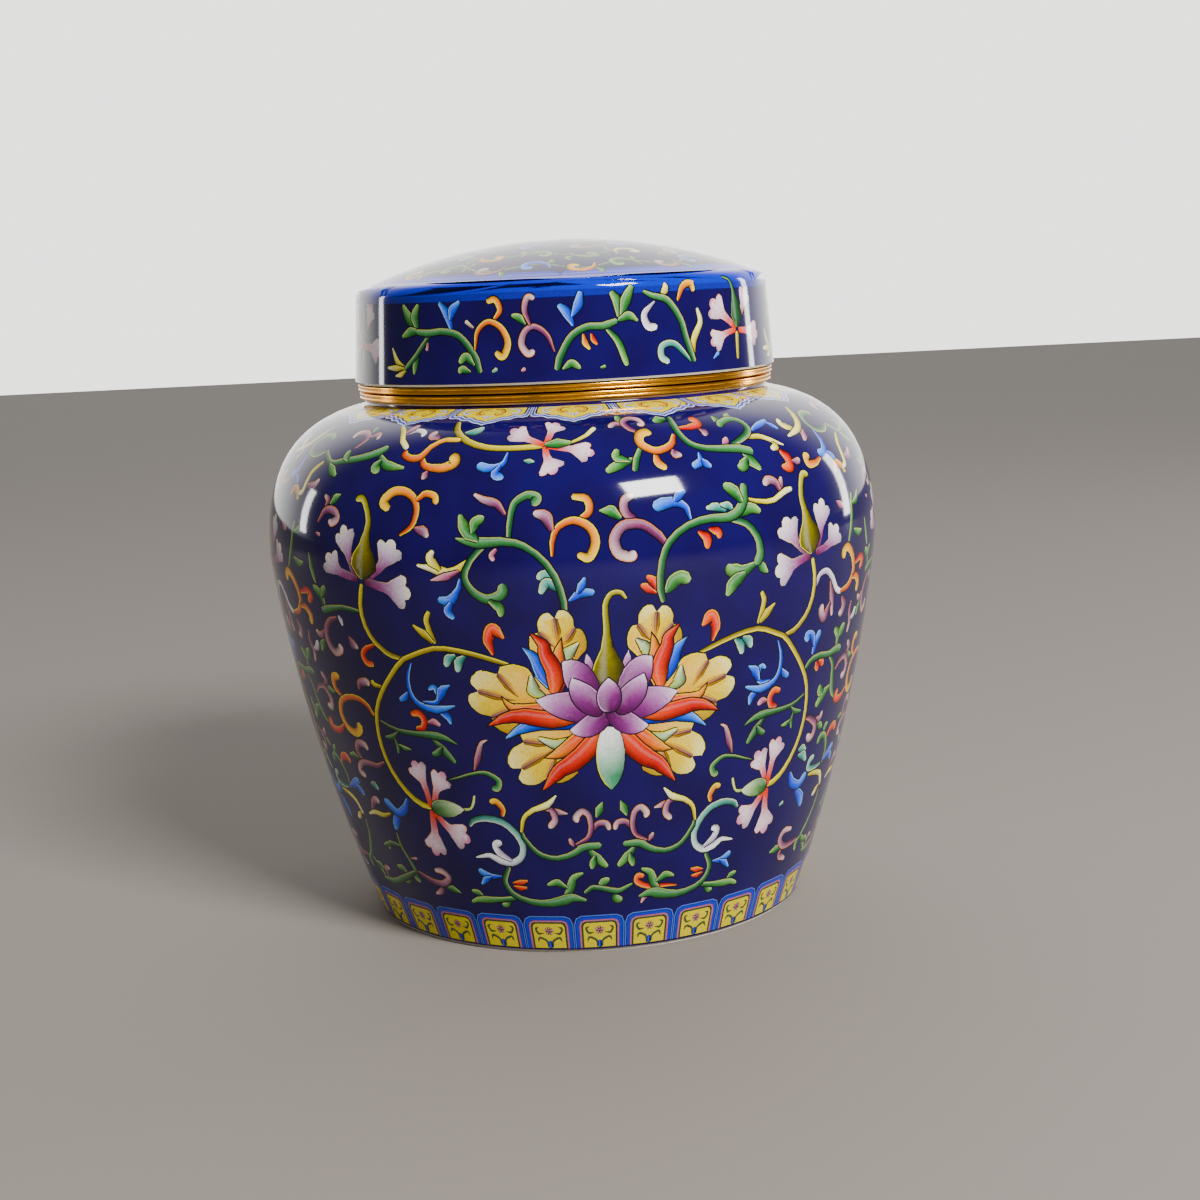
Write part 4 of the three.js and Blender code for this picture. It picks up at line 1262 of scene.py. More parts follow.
@dataclass
class Skin:
    """A painted skin in metres: its places, triangles and looks."""

    places: np.ndarray
    faces: np.ndarray
    looks: np.ndarray


def wrapped(sheet: Sheet, angles: np.ndarray, radius: np.ndarray, height: np.ndarray) -> Skin:
    """Turns copies of a flat sheet around the upright axis.

    Args:
        sheet: The cut sheet.
        angles: Angle of each of its places, in degrees from the front.
        radius: Radius of each place in mm.
        height: Height of each place in mm.

    Returns:
        The skin in metres.
    """
    places, faces = [], []
    for number in range(REPEATS):
        turn = np.radians(angles + number * 360 / REPEATS)
        places.append(np.column_stack([radius * np.sin(turn), -radius * np.cos(turn), height]))
        faces.append(sheet.faces + number * len(sheet.spots))
    return Skin(np.vstack(places) * MM, np.vstack(faces), np.tile(sheet.looks, (REPEATS, 1, 1)))


def settle() -> None:
    """Leaves edit mode and deselects everything."""
    if bpy.context.object and bpy.context.object.mode != "OBJECT":
        bpy.ops.object.mode_set(mode="OBJECT")
    bpy.ops.object.select_all(action="DESELECT")


def activate(*objects: bpy.types.Object) -> None:
    """Selects only these objects and makes the first one active.

    Args:
        objects: One object or more.
    """
    settle()
    for item in objects:
        item.select_set(True)
    bpy.context.view_layer.objects.active = objects[0]


def edited(piece: bpy.types.Object, *steps: Callable[[], object]) -> None:
    """Takes a piece through operators in edit mode, each on all of it.

    Args:
        piece: The piece.
        steps: The operators, ready to be called.
    """
    activate(piece)
    bpy.ops.object.mode_set(mode="EDIT")
    for step in steps:
        bpy.ops.mesh.select_all(action="SELECT")
        step()
    settle()


def values(items: bpy.types.bpy_prop_collection, label: str, kind: type,
           width: int = 1) -> np.ndarray:
    """Reads one property of every item in a mesh.

    Args:
        items: The mesh's vertices, corners or faces.
        label: Name of the property.
        kind: Type of its numbers.
        width: How many numbers it has.

    Returns:
        One number for each item, or one row of numbers.
    """
    found = np.zeros(len(items) * width, dtype=kind)
    items.foreach_get(label, found)
    return found if width == 1 else found.reshape(-1, width)


def turned(name: str, profile: np.ndarray) -> bpy.types.Object:
    """Spins a profile around the upright axis.

    Args:
        name: Name of the new object.
        profile: Radius and height points in mm.

    Returns:
        The turned object.
    """
    angle = math.radians(SEAM_ANGLE)
    places = [(r * MM * math.sin(angle), -r * MM * math.cos(angle), z * MM) for r, z in profile]
    edges = [(number, number + 1) for number in range(len(places) - 1)]
    mesh = bpy.data.meshes.new(name)
    mesh.from_pydata(places, edges, [])
    piece = bpy.data.objects.new(name, mesh)
    bpy.context.scene.collection.objects.link(piece)
    edited(
        piece,
        partial(bpy.ops.mesh.spin, steps=SEGMENTS, angle=math.tau, center=(0, 0, 0),
                axis=(0, 0, 1)),
        partial(bpy.ops.mesh.remove_doubles, threshold=SPIN_WELD),
        partial(bpy.ops.mesh.normals_make_consistent, inside=False),
    )
    return piece


def skinned(name: str, skin: Skin) -> bpy.types.Object:
    """Makes an object of a painted skin.

    Args:
        name: Name of the new object.
        skin: Its places, triangles and looks.

    Returns:
        The object, with the painting in attributes of its face corners.
    """
    mesh = bpy.data.meshes.new(name)
    mesh.vertices.add(len(skin.places))
    mesh.vertices.foreach_set("co", skin.places.astype(np.float32).ravel())
    mesh.loops.add(skin.faces.size)
    mesh.loops.foreach_set("vertex_index", skin.faces.astype(np.int32).ravel())
    mesh.polygons.add(len(skin.faces))
    starts = np.arange(len(skin.faces), dtype=np.int32) * 3
    mesh.polygons.foreach_set("loop_start", starts)
    mesh.update(calc_edges=True)
    looks = skin.looks.reshape(-1, 9)
    solid = np.ones((len(looks), 1))
    for label, part in (("enamel", looks[:, :3]), ("rim", looks[:, 3:6])):
        layer = mesh.attributes.new(label, "FLOAT_COLOR", "CORNER")
        layer.data.foreach_set("color", np.hstack([part, solid]).astype(np.float32).ravel())
    layer = mesh.attributes.new("stroke", "FLOAT_VECTOR", "CORNER")
    layer.data.foreach_set("vector", looks[:, 6:9].astype(np.float32).ravel())
    piece = bpy.data.objects.new(name, mesh)
    bpy.context.scene.collection.objects.link(piece)
    return piece


def seal(mesh: bpy.types.Mesh) -> None:
    """Takes away the slivers that welding folded over and fills the gaps that are left.

    Args:
        mesh: A mesh that should be closed.
    """
    form = bmesh.new()
    form.from_mesh(mesh)
    for _ in range(SEAL_ROUNDS):
        loose = [face for face in form.faces
                 if any(len(edge.link_faces) == 1 for edge in face.edges)
                 and any(len(edge.link_faces) > 2 for edge in face.edges)]
        if not loose:
            loose = crowded(form)
        if not loose:
            break
        bmesh.ops.delete(form, geom=loose, context="FACES")
    gaps = [edge for edge in form.edges if len(edge.link_faces) == 1]
    bmesh.ops.holes_fill(form, edges=gaps, sides=0)
    bmesh.ops.triangulate(form, faces=[face for face in form.faces if len(face.verts) > 4])
    form.to_mesh(mesh)
    form.free()


def crowded(form: bmesh.types.BMesh) -> list[bmesh.types.BMFace]:
    """Finds the smallest face at each edge that more than two faces share."""
    return list({min(edge.link_faces, key=lambda face: face.calc_area())
                 for edge in form.edges if len(edge.link_faces) > 2})


def joined(name: str, skin: bpy.types.Object, rest: bpy.types.Object,
           outline: Outline) -> bpy.types.Object:
    """Closes a painted skin with the rest of its piece and smooths both.

    Args:
        name: Name of the finished piece.
        skin: The painted skin, in material slot 0.
        rest: The remaining surfaces, in later slots.
        outline: The skin's outline, for its true normals.

    Returns:
        The finished piece.
    """
    activate(skin, rest)
    bpy.ops.object.join()
    edited(skin, partial(bpy.ops.mesh.remove_doubles, threshold=WELD_MM * MM))
    seal(skin.data)
    edited(skin, partial(bpy.ops.mesh.normals_make_consistent, inside=False))
    activate(skin)
    bpy.ops.object.shade_smooth_by_angle(angle=math.radians(SHARP_DEGREES))
    skin.name = name
    skin.data.name = name
    mesh = skin.data
    places = values(mesh.vertices, "co", np.float32, 3)
    normals = values(mesh.corner_normals, "vector", np.float32, 3)
    slots = values(mesh.polygons, "material_index", np.int32)
    painted = np.repeat(slots == 0, values(mesh.polygons, "loop_total", np.int32))
    true = outline.normals(places[values(mesh.loops, "vertex_index", np.int32)])
    normals[painted] = true[painted]
    mesh.normals_split_custom_set(normals.tolist())
    return skin


def add(tree: bpy.types.NodeTree, kind: str, settings: dict | None = None,
        inputs: dict | None = None) -> bpy.types.Node:
    """Adds a shader node with its settings, values and links.

    Args:
        tree: The node tree.
        kind: Blender's name of the node type.
        settings: Properties of the node.
        inputs: For each input's name or number a value, or the output socket that feeds it.

    Returns:
        The node.
    """
    node = tree.nodes.new(kind)
    for name, value in (settings or {}).items():
        setattr(node, name, value)
    for name, value in (inputs or {}).items():
        if isinstance(value, bpy.types.NodeSocket):
            tree.links.new(value, node.inputs[name])
        else:
            node.inputs[name].default_value = value
    return node


def opaque(code: str) -> tuple[float, float, float, float]:
    """Gives an sRGB hex colour as linear red, green, blue and a full alpha."""
    return (*linear(code), 1.0)


def started(name: str, roughness: float, metallic: float = 0.0,
            ior: float | None = None) -> tuple[bpy.types.Material, bpy.types.Node]:
    """Starts a material with a single principled shader.

    Args:
        name: Name of the material.
        roughness: Its roughness.
        metallic: 1 for a metal.
        ior: Index of refraction, or None for the default.

    Returns:
        The material and its shader node.
    """
    material = bpy.data.materials.new(name)
    material.use_nodes = True
    shader = material.node_tree.nodes["Principled BSDF"]
    shader.inputs["Roughness"].default_value = roughness
    shader.inputs["Metallic"].default_value = metallic
    if ior is not None:
        shader.inputs["IOR"].default_value = ior
    return material, shader


@dataclass(frozen=True)
class PaintedPorcelain:
    """Porcelain with a cobalt ground and overglaze enamels, fired glossy.

    The eye sees a deep even blue under a glass-clear skin with sharp highlights, and small
    soft-edged brush strokes that are darker along one side.
    """

    ground: str = "#150350"
    ground_deep: str = "#110242"
    line: str = "#0a0718"
    richness: float = 1.05
    depth: float = 1.1
    roughness: float = 0.07
    ior: float = 1.4
    speckle_mm: float = 0.5
    cloud_mm: float = 14.0

    def material(self) -> bpy.types.Material:
        """Builds the material from the attributes of the painted skin.

        Returns:
            The material.
        """
        material, shader = started("cobalt_porcelain_enamelled", self.roughness, ior=self.ior)
        tree = material.node_tree
        spot = add(tree, "ShaderNodeTexCoord").outputs["Object"]
        enamel = add(tree, "ShaderNodeAttribute", {"attribute_name": "enamel"}).outputs["Color"]
        rim = add(tree, "ShaderNodeAttribute", {"attribute_name": "rim"}).outputs["Color"]
        stroke = add(tree, "ShaderNodeAttribute", {"attribute_name": "stroke"})
        parts = add(tree, "ShaderNodeSeparateXYZ", inputs={0: stroke.outputs["Vector"]})
        edge, across, paint = parts.outputs

        # Darker along one side, a line of shine beside the middle, and a pale rim where it's lit.
        shade = self.ramp(tree, across, 0.0, 0.95, 0.0, 0.78)
        painted = self.mix(tree, shade, enamel, opaque("#3c2c38"), "MULTIPLY")
        offset = add(tree, "ShaderNodeMath", {"operation": "ADD"}, {0: across, 1: 0.3})
        apart = add(tree, "ShaderNodeMath", {"operation": "ABSOLUTE"}, {0: offset.outputs[0]})
        shine = self.ramp(tree, apart.outputs[0], 0.0, 0.4, 0.14, 0.0)
        painted = self.mix(tree, shine, painted, opaque("#ffffff"))
        lit = self.ramp(tree, across, 0.0, -0.3, 0.0, 0.85)
        near = self.ramp(tree, edge, 1.6, 2.6, 1.0, 0.0)
        beside = add(tree, "ShaderNodeMath", {"operation": "MULTIPLY"}, {0: lit, 1: near})
        painted = self.mix(tree, beside.outputs[0], painted, rim)
        # The grain of the colour, then the dark line around each stroke.
        noise = add(tree, "ShaderNodeTexNoise", inputs={
            "Vector": spot, "Scale": 1 / (self.speckle_mm * MM), "Detail": 2.0})
        grain = self.ramp(tree, noise.outputs["Fac"], 0.35, 0.75, 0.0, 0.22)
        painted = self.mix(tree, grain, painted, opaque("#8a7470"), "MULTIPLY")
        outline = self.ramp(tree, edge, 0.8, 1.5, 1.0, 0.0)
        painted = add(tree, "ShaderNodeHueSaturation", inputs={
            "Saturation": self.richness, "Color": painted}).outputs[0]
        painted = add(tree, "ShaderNodeGamma", inputs={
            "Color": painted, "Gamma": self.depth}).outputs[0]
        painted = self.mix(tree, outline, painted, opaque(self.line))

        # The ground is a little deeper in wide soft clouds.
        cloud = add(tree, "ShaderNodeTexNoise", inputs={
            "Vector": spot, "Scale": 1 / (self.cloud_mm * MM), "Detail": 3.0})
        depth = self.ramp(tree, cloud.outputs["Fac"], 0.3, 0.7, 0.0, 1.0)
        ground = self.mix(tree, depth, opaque(self.ground_deep), opaque(self.ground))
        colour = self.mix(tree, paint, ground, painted)
        tree.links.new(colour, shader.inputs["Base Color"])
        return material

    @staticmethod
    def ramp(tree: bpy.types.NodeTree, value: bpy.types.NodeSocket, low: float, high: float,
             start: float, end: float) -> bpy.types.NodeSocket:
        """Maps one range of a value smoothly onto another.

        Args:
            tree: The node tree.
            value: The value.
            low: Start of its range.
            high: End of its range.
            start: What the start becomes.
            end: What the end becomes.

        Returns:
            The new value.
        """
        node = add(tree, "ShaderNodeMapRange", {"interpolation_type": "SMOOTHSTEP"}, {
            "Value": value, "From Min": low, "From Max": high, "To Min": start, "To Max": end})
        return node.outputs["Result"]

    @staticmethod
    def mix(tree: bpy.types.NodeTree, share: bpy.types.NodeSocket, first: object,
            second: object, way: str = "MIX") -> bpy.types.NodeSocket:
        """Mixes two colours by a share.

        Args:
            tree: The node tree.
            share: Share of the second colour.
            first: A colour, or the output that gives it.
            second: The same for the second.
            way: How Blender blends them.

        Returns:
            The mixed colour.
        """
        node = add(tree, "ShaderNodeMix", {"data_type": "RGBA", "blend_type": way})
        for socket, value in ((0, share), (6, first), (7, second)):
            if isinstance(value, bpy.types.NodeSocket):
                tree.links.new(value, node.inputs[socket])
            else:
                node.inputs[socket].default_value = value
        return node.outputs[2]


@dataclass(frozen=True)
class PlainFinish:
    """A finish of one colour."""

    name: str
    colour: str
    roughness: float
    metallic: float = 0.0
    ior: float | None = None

    def material(self) -> bpy.types.Material:
        """Builds the material.

        Returns:
            The material.
        """
        material, shader = started(self.name, self.roughness, self.metallic, self.ior)
        shader.inputs["Base Color"].default_value = opaque(self.colour)
        return material


# White porcelain body under a clear glaze: milky and glossy.
WHITE_GLAZE = PlainFinish("white_porcelain_glazed", "#e6e6e2", 0.12, ior=1.5)
# The same body left bare where the jar stands: chalky and warm.
BISCUIT = PlainFinish("porcelain_biscuit_unglazed", "#cfc8ba", 0.75, ior=1.5)
# Brass, spun, polished and gilt: warm deep gold with sharp bright lines.
GILT_BRASS = PlainFinish("gilt_brass_polished", "#f0ac1c", 0.2, metallic=1.0)
# The studio floor: a matt pale board.
FLOOR = PlainFinish("studio_board_matt", "#7e766f", 0.85)


@dataclass
class JarBody:
    """The porcelain body: sizes in mm."""

    foot_radius: float = 55.0
    belly_radius: float = 76.8
    belly_height: float = 93.0
    neck_radius: float = 50.5
    shoulder_height: float = 128.7
    neck_height: float = 1.0
    mouth_radius: float = 45.5
    mouth_chamfer: float = 1.0
    wall: float = 4.0
    floor_top: float = 7.5
    recess: float = 2.5
    foot_rim_height: float = 0.8
    foot_rim_outer: float = 54.5
    foot_rim_width: float = 5.0
    seat_ease: float = 0.3
    inner_corner: float = 6.0
    # How the outline bends, as shares of the way from the foot to the belly and on to the neck.
    flare_out: float = 0.775
    flare_up: float = 0.506
    belly_below: float = 0.95
    belly_above: float = 0.314
    shoulder_out: float = 0.949
    shoulder_drop: float = 0.118

    def curve(self) -> np.ndarray:
        """Draws the outside from the foot past the belly to the neck.

        Returns:
            Radius and height points in mm.
        """
        turn_in = self.belly_radius - self.neck_radius
        rise = self.shoulder_height - self.belly_height
        flare_out = self.foot_radius + self.flare_out * (self.belly_radius - self.foot_radius)
        flare = bezier([
            (self.foot_radius, 0), (flare_out, self.flare_up * self.belly_height),
            (self.belly_radius, self.belly_below * self.belly_height),
            (self.belly_radius, self.belly_height)], 120)
        shoulder = bezier([
            (self.belly_radius, self.belly_height),
            (self.belly_radius, self.belly_height + self.belly_above * rise),
            (self.neck_radius + self.shoulder_out * turn_in,
             self.shoulder_height - self.shoulder_drop * rise),
            (self.neck_radius, self.shoulder_height)], 90)
        return np.vstack([flare, shoulder[1:]])

    def outline(self) -> Outline:
        """Gives the glazed outside above the foot rim.

        Returns:
            The outline of the painted skin.
        """
        line = self.curve()
        above = line[line[:, 1] > self.foot_rim_height]
        radius = np.interp(self.foot_rim_height, line[:, 1], line[:, 0])
        neck = (self.neck_radius, self.shoulder_height + self.neck_height - self.seat_ease)
        return Outline.through(np.vstack([[(radius, self.foot_rim_height)], above, [neck]]))

    def inside(self) -> np.ndarray:
        """Draws the neck, the inner wall and the floor, from the neck to the axis.

        Returns:
            Radius and height points in mm.
        """
        line = self.curve()[::6]
        way = np.gradient(line, axis=0)
        way /= np.linalg.norm(way, axis=1)[:, None]
        inner = line + self.wall * np.column_stack([-way[:, 1], way[:, 0]])
        corner = self.inner_corner
        inner = inner[inner[:, 1] > self.floor_top + corner]
        inner = inner[inner[:, 0] > self.mouth_radius + self.mouth_chamfer][::-1]
        seat = self.shoulder_height + self.neck_height
        lowest = inner[-1]
        turn = bezier([lowest, (lowest[0] - 1.0, self.floor_top),
                       (lowest[0] - corner, self.floor_top)], 5)
        under = inner[0][1]
        return np.vstack([
            [(self.neck_radius, seat - self.seat_ease), (self.neck_radius - self.seat_ease, seat),
             (self.mouth_radius, seat), (self.mouth_radius, under + self.mouth_chamfer)],
            inner, turn[1:], [(0, self.floor_top)]])

    def underside(self) -> np.ndarray:
        """Draws the recess and the foot rim, from the axis to the glazed edge.

        Returns:
            Radius and height points in mm.
        """
        inner = self.foot_rim_outer - self.foot_rim_width
        edge = self.outline()
        return np.array([
            (0, self.recess), (inner - self.recess, self.recess), (inner, 0.0),
            (self.foot_rim_outer, 0.0), (self.foot_rim_outer, self.foot_rim_height),
            (edge.radius[0], self.foot_rim_height)])

    def build(self) -> bpy.types.Object:
        """Builds the painted skin and closes it with the inside and the foot.

        Returns:
            The finished body.
        """
        outline = self.outline()
        scroll = LotusScroll(outline)
        scroll.paint()
        skin = skinned("jar_body_porcelain", scroll.skin())
        skin.data.materials.append(PaintedPorcelain().material())
        unrolled(skin, (0.0, 0.0, 1.0, 0.6), float(outline.height[0]), float(outline.height[-1]))
        parts = []
        for name, line, finish, base in (
            ("jar_inside", self.inside(), WHITE_GLAZE, 0.64),
            ("jar_underside", self.underside(), BISCUIT, 0.84),
        ):
            part = turned(name, line)
            part.data.materials.append(finish.material())
            along_profile(part, line, (0.0, base, 1.0, base + 0.14))
            parts.append(part)
        activate(*parts)
        bpy.ops.object.join()
        piece = joined("jar_body_porcelain", skin, parts[0], outline)
        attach(piece, "root")
        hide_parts("jar_body")
        return piece


def unrolled(piece: bpy.types.Object, area: tuple[float, float, float, float], low: float,
             high: float) -> None:
    """Unrolls a turned skin into an area of its bake map by angle and height.

    Args:
        piece: The skin.
        area: Left, lower, right and upper bounds in the map.
        low: Lowest height in mm.
        high: Highest height in mm.
    """
    mesh = piece.data
    layer = mesh.uv_layers.new(name="OFBake")
    places = values(mesh.vertices, "co", np.float32, 3)
    spot = places[values(mesh.loops, "vertex_index", np.int32)].reshape(-1, 3, 3)
    turn = np.degrees(np.arctan2(spot[..., 0], -spot[..., 1])) - SEAM_ANGLE
    turn = np.mod(turn + 1e-4, 360) - 1e-4
    middle = np.median(turn, axis=1, keepdims=True)
    turn = np.where(turn - middle > 180, turn - 360, turn)
    turn = np.where(middle - turn > 180, turn + 360, turn)
    share = (spot[..., 2] / MM - low) / (high - low)
    across = area[0] + (area[2] - area[0]) * np.clip(turn / 360, 0, 1)
    up = area[1] + (area[3] - area[1]) * share
    layer.data.foreach_set("uv", np.stack([across, up], axis=-1).astype(np.float32).ravel())


def along_profile(piece: bpy.types.Object, line: np.ndarray,
                  area: tuple[float, float, float, float]) -> None:
    """Unrolls a spun part into an area of its bake map by angle and place on its profile.

    Args:
        piece: The spun part.
        line: Its profile in mm.
        area: Left, lower, right and upper bounds in the map.
    """
    mesh = piece.data
    layer = mesh.uv_layers.new(name="OFBake")
    run = np.concatenate([[0], np.cumsum(np.linalg.norm(np.diff(line, axis=0), axis=1))])
    for face in mesh.polygons:
        middle = face.center
        aim = math.degrees(math.atan2(middle.x, -middle.y)) - SEAM_ANGLE
        aim %= 360
        for number in face.loop_indices:
            place = mesh.vertices[mesh.loops[number].vertex_index].co
            radius = math.hypot(place.x, place.y) / MM
            spot = np.abs(line - (radius, place.z / MM)).sum(axis=1).argmin()
            turn = math.degrees(math.atan2(place.x, -place.y)) - SEAM_ANGLE
            turn = aim if radius < 0.01 else turn + 360 * round((aim - turn) / 360)
            layer.data[number].uv = (
                area[0] + (area[2] - area[0]) * turn / 360,
                area[1] + (area[3] - area[1]) * run[spot] / run[-1],
            )


@dataclass
class RimRing:
    """A gilt brass ring with an eased band and a sleeve: sizes in mm."""

    node: str
    bottom: float
    height: float
    radius: float
    sleeve_outer: float
    sleeve_inner: float
    sleeve_depth: float = 4.0
    bead: float = 0.16
    sharp_degrees: float = 40.0

    def profile(self) -> np.ndarray:
        """Draws the ring's section, its band rolled into two beads and a groove between.

        Returns:
            Radius and height points in mm.
        """
        top = self.bottom + self.height
        middle = self.bottom + 0.5 * self.height
        low = self.bottom - self.sleeve_depth
        outer = self.radius
        return np.array([
            (self.sleeve_inner, low), (self.sleeve_outer, low), (self.sleeve_outer, self.bottom),
            (outer - 0.35, self.bottom), (outer - 0.08, self.bottom + 0.12),
            (outer, self.bottom + 0.34), (outer - 0.05, middle - 0.28),
            (outer - self.bead * 1.6, middle - 0.12), (outer - self.bead * 1.6, middle + 0.12),
            (outer - 0.05, middle + 0.28), (outer, top - 0.34), (outer - 0.08, top - 0.12),
            (outer - 0.35, top), (self.sleeve_inner, top), (self.sleeve_inner, low)])

    def build(self, finish: bpy.types.Material) -> bpy.types.Object:
        """Builds the ring and puts it in its node's place.

        Args:
            finish: The ring's material.

        Returns:
            The finished ring.
        """
        piece = turned(f"{self.node}_brass", self.profile())
        piece.data.materials.append(finish)
        activate(piece)
        bpy.ops.object.shade_smooth_by_angle(angle=math.radians(self.sharp_degrees))
        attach(piece, "root")
        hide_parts(self.node)
        return piece


@dataclass
class LidScroll:
    """The scroll on the lid's side, in degrees from the front and mm upwards, and the dome."""

    outline: Outline
    dome_edge: float
    dome_run: float
    mm_per_degree: float = math.radians(52.0)

    def __post_init__(self) -> None:
        """Starts the canvas of one repeat of the side, and that of the dome."""
        self.side = Canvas(TILE_TURN * self.mm_per_degree, SEAM_ANGLE * self.mm_per_degree)
        self.dome = Canvas()

    def brush(self, ink: Ink, half: tuple[float, ...], *course: float) -> None:
        """Lays a stroke on the side, in degrees from the front and mm upwards by turns."""
        self.side.stroke(ink, in_mm(pairs(course), self.mm_per_degree), half)

    def paint(self) -> None:
        """Lays the side's repeat and the dome's sprays."""
        left = self.side.start - 1.0
        right = self.side.start + self.side.wrap + 1.0
        high = self.dome_run + 1.0
        # The paler cobalt bands along the side's upper edge are partly a paler glaze and partly painted
        # light from above, with a painted reflection.
        for ink, band in ((Ink.DEEP_COBALT_AND_SHEEN, 7.6), (Ink.PALE_COBALT_AND_SHEEN, 6.2)):
            low = high - band
            self.side.panel(ink, [(left, low), (right, low), (right, high), (left, high)],
                            ((left + right) / 2, (low + high) / 2))
        self.left_spray()
        self.middle_spray()
        self.right_spray()
        self.dome_sprays()

    def left_spray(self) -> None:
        """Lays the green vine at the left of the front, with its leaves and orange curl."""
        lay = self.brush
        lay(Ink.CREAM, (0.5, 0.9, 0.5), -45, 4.5, -48.5, 6, -50.5, 9.3)
        lay(Ink.CREAM, (0.5, 0.9, 0.5), -45, 4.3, -49, 4.4, -53, 4.5)
        lay(Ink.CREAM, (0.5, 0.8, 0.5), -44.6, 4, -47, 2.9, -49.4, 2.6)
        lay(Ink.LEAF, (0.6, 1.0, 0.6), -40, 8.6, -41.4, 5.4, -42, 2.8)
        lay(Ink.VINE, (0.8, 0.7, 0.7), -36.5, 11.8, -41, 7.4, -45.6, 4)
        lay(Ink.LEAF, (0.8, 1.4, 0.8), -40, 12.8, -43.4, 15.8, -46, 19.2)
        lay(Ink.LEAF, (0.8, 1.3, 0.8), -40.4, 13, -41.4, 16.4, -40, 19.2)
        lay(Ink.LEAF, (0.8, 1.2, 0.6), -39.6, 12.8, -43, 12.8, -46.4, 11.6)
        lay(Ink.PINK, (0.6, 0.8), -36.8, 10.4, -37.4, 8.2)
        lay(Ink.VINE, (1.0, 0.9, 0.9, 0.9, 1.0), -21.5, 2.8, -23, 7, -27, 11.4, -32, 12.7, -37, 12.4,
            -41, 12.8)
        lay(Ink.LEAF, (0.6, 1.1, 0.8), -23, 4.6, -25.4, 6.8, -27.4, 5.2)
        lay(Ink.LEAF, (0.6, 1.0, 0.7), -24, 3.2, -26.6, 4, -27.4, 2.9)
        lay(Ink.BLUE, (0.8, 1.2, 0.8), -29.4, 13, -30.6, 16.6, -33.2, 19.4)
        lay(Ink.BLUE, (0.7, 1.2, 0.8), -29.8, 15, -29, 17.4, -26.8, 19.4)
        lay(Ink.VIOLET, (0.6, 0.8), -23, 13, -25.4, 15)
        lay(Ink.ORANGE, (0.7, 0.8, 0.9), -17.5, 14.8, -15.8, 17, -17, 19.4, -19.4, 18.9)
        lay(Ink.ORANGE, (0.5, 0.7, 0.8, 0.9, 1.0), -22.8, 8, -22, 12.4, -19, 14.5, -15.6, 13, -14, 9.6,
            -15.4, 6.6, -17.4, 7.6)
        lay(Ink.TEAL, (0.6, 0.8), -18.4, 3, -16.8, 4)

    def middle_spray(self) -> None:
        """Lays the violet curl and the green vine in the middle of the front."""
        lay = self.brush
        lay(Ink.MAUVE, (0.5, 0.7, 0.8, 0.9, 1.0), -2.3, 7, -4, 11, -7, 13, -9.5, 12, -10.5, 9.2, -9, 7,
            -7.2, 7.6)
        lay(Ink.MAUVE, (0.6, 0.8, 0.9), -8, 13.2, -9.4, 16.6, -8.6, 19.6, -6.6, 19.2)
        lay(Ink.LEAF, (0.5, 1.0, 0.6), -9.2, 13.4, -11, 15.2, -13, 15.8)
        lay(Ink.PINK, (0.6, 0.8), -10.9, 3, -9.6, 3.8)
        lay(Ink.BLUE, (0.6, 1.2, 0.9), 2.7, 12.6, 1.2, 15.8, -1, 17.8)
        lay(Ink.BLUE, (0.6, 1.2, 0.9), 2.3, 14.6, 4.2, 17.6, 4.9, 20.6)
        lay(Ink.LEAF, (0.8, 1.2, 0.9), 14.4, 14, 14.2, 17.6, 12.5, 20.2)
        lay(Ink.LEAF, (0.8, 1.3, 0.9), 15, 14.4, 16.4, 18, 18.4, 21.4)
        lay(Ink.LEAF, (0.8, 1.1, 0.6), 14, 13.4, 17, 14.4, 19.4, 13)
        lay(Ink.LEAF, (0.7, 0.9, 0.8), 10.8, 12, 13.8, 8.6, 15.8, 3)
        lay(Ink.VINE, (1.0, 0.9, 0.9, 0.9, 1.0), -2, 2.8, -1, 6, 2, 10.4, 6, 12.4, 10, 12.4, 14, 13.5)
        lay(Ink.LEAF, (0.6, 1.0, 0.7), -0.6, 3, 1.8, 4.4, 4, 3)
        lay(Ink.ORANGE, (0.5, 0.8, 0.6), 5, 11, 5.4, 8.8, 6.6, 7.2)
        lay(Ink.RED, (0.5, 0.7, 0.5), 7, 11, 7.5, 9.4, 8.5, 8.2)
        lay(Ink.LEAF, (0.5, 0.7), 8.8, 3, 10.4, 3.4)

    def right_spray(self) -> None:
        """Lays the vine at the right of the front and the flower beside it."""
        lay = self.brush
        lay(Ink.PEARL, (0.5, 0.8, 1.0, 1.1), 24.4, 17.4, 21.2, 14.6, 22, 11.8, 24.6, 11.6)
        lay(Ink.ORANGE, (0.6, 0.9, 0.9), 31, 17, 32.8, 20.2, 35.4, 21, 36.4, 18.9)
        lay(Ink.CREAM, (0.7, 1.0, 0.7), 34.5, 3, 35.2, 8, 37.8, 12, 37, 15.4)
        lay(Ink.TEAL, (0.6, 0.8, 0.9, 1.0), 34, 3, 29.4, 7.3, 25.7, 7.2, 25.2, 4.7, 27.4, 3.2)
        lay(Ink.CREAM, (0.6, 1.0, 0.7), 26, 18, 27.6, 20, 27.5, 21.6)
        lay(Ink.VINE, (0.9, 0.9, 0.9, 0.9, 0.7), 35, 2.8, 33, 8, 31.5, 13, 28, 17.4, 24, 18.5, 21, 19.8)
        lay(Ink.BLUE, (0.5, 0.9), 41.4, 3.2, 43.8, 4.8)
        lay(Ink.OCHRE, (0.7, 0.7), 51.4, 2.6, 52, 9.4)
        for width, spine in (
            (7.0, [(51.6, 10.2), (47, 12.6), (42, 16.8)]),
            (5.6, [(51.4, 9.6), (46.4, 9.2), (41, 6.6)]),
            (5.6, [(52.6, 10.4), (55.6, 14.6), (58.6, 19.4)]),
            (6.4, [(52.8, 9.4), (57, 9.6), (63.6, 7.8)]),
        ):
            placed = in_mm(spine, self.mm_per_degree)
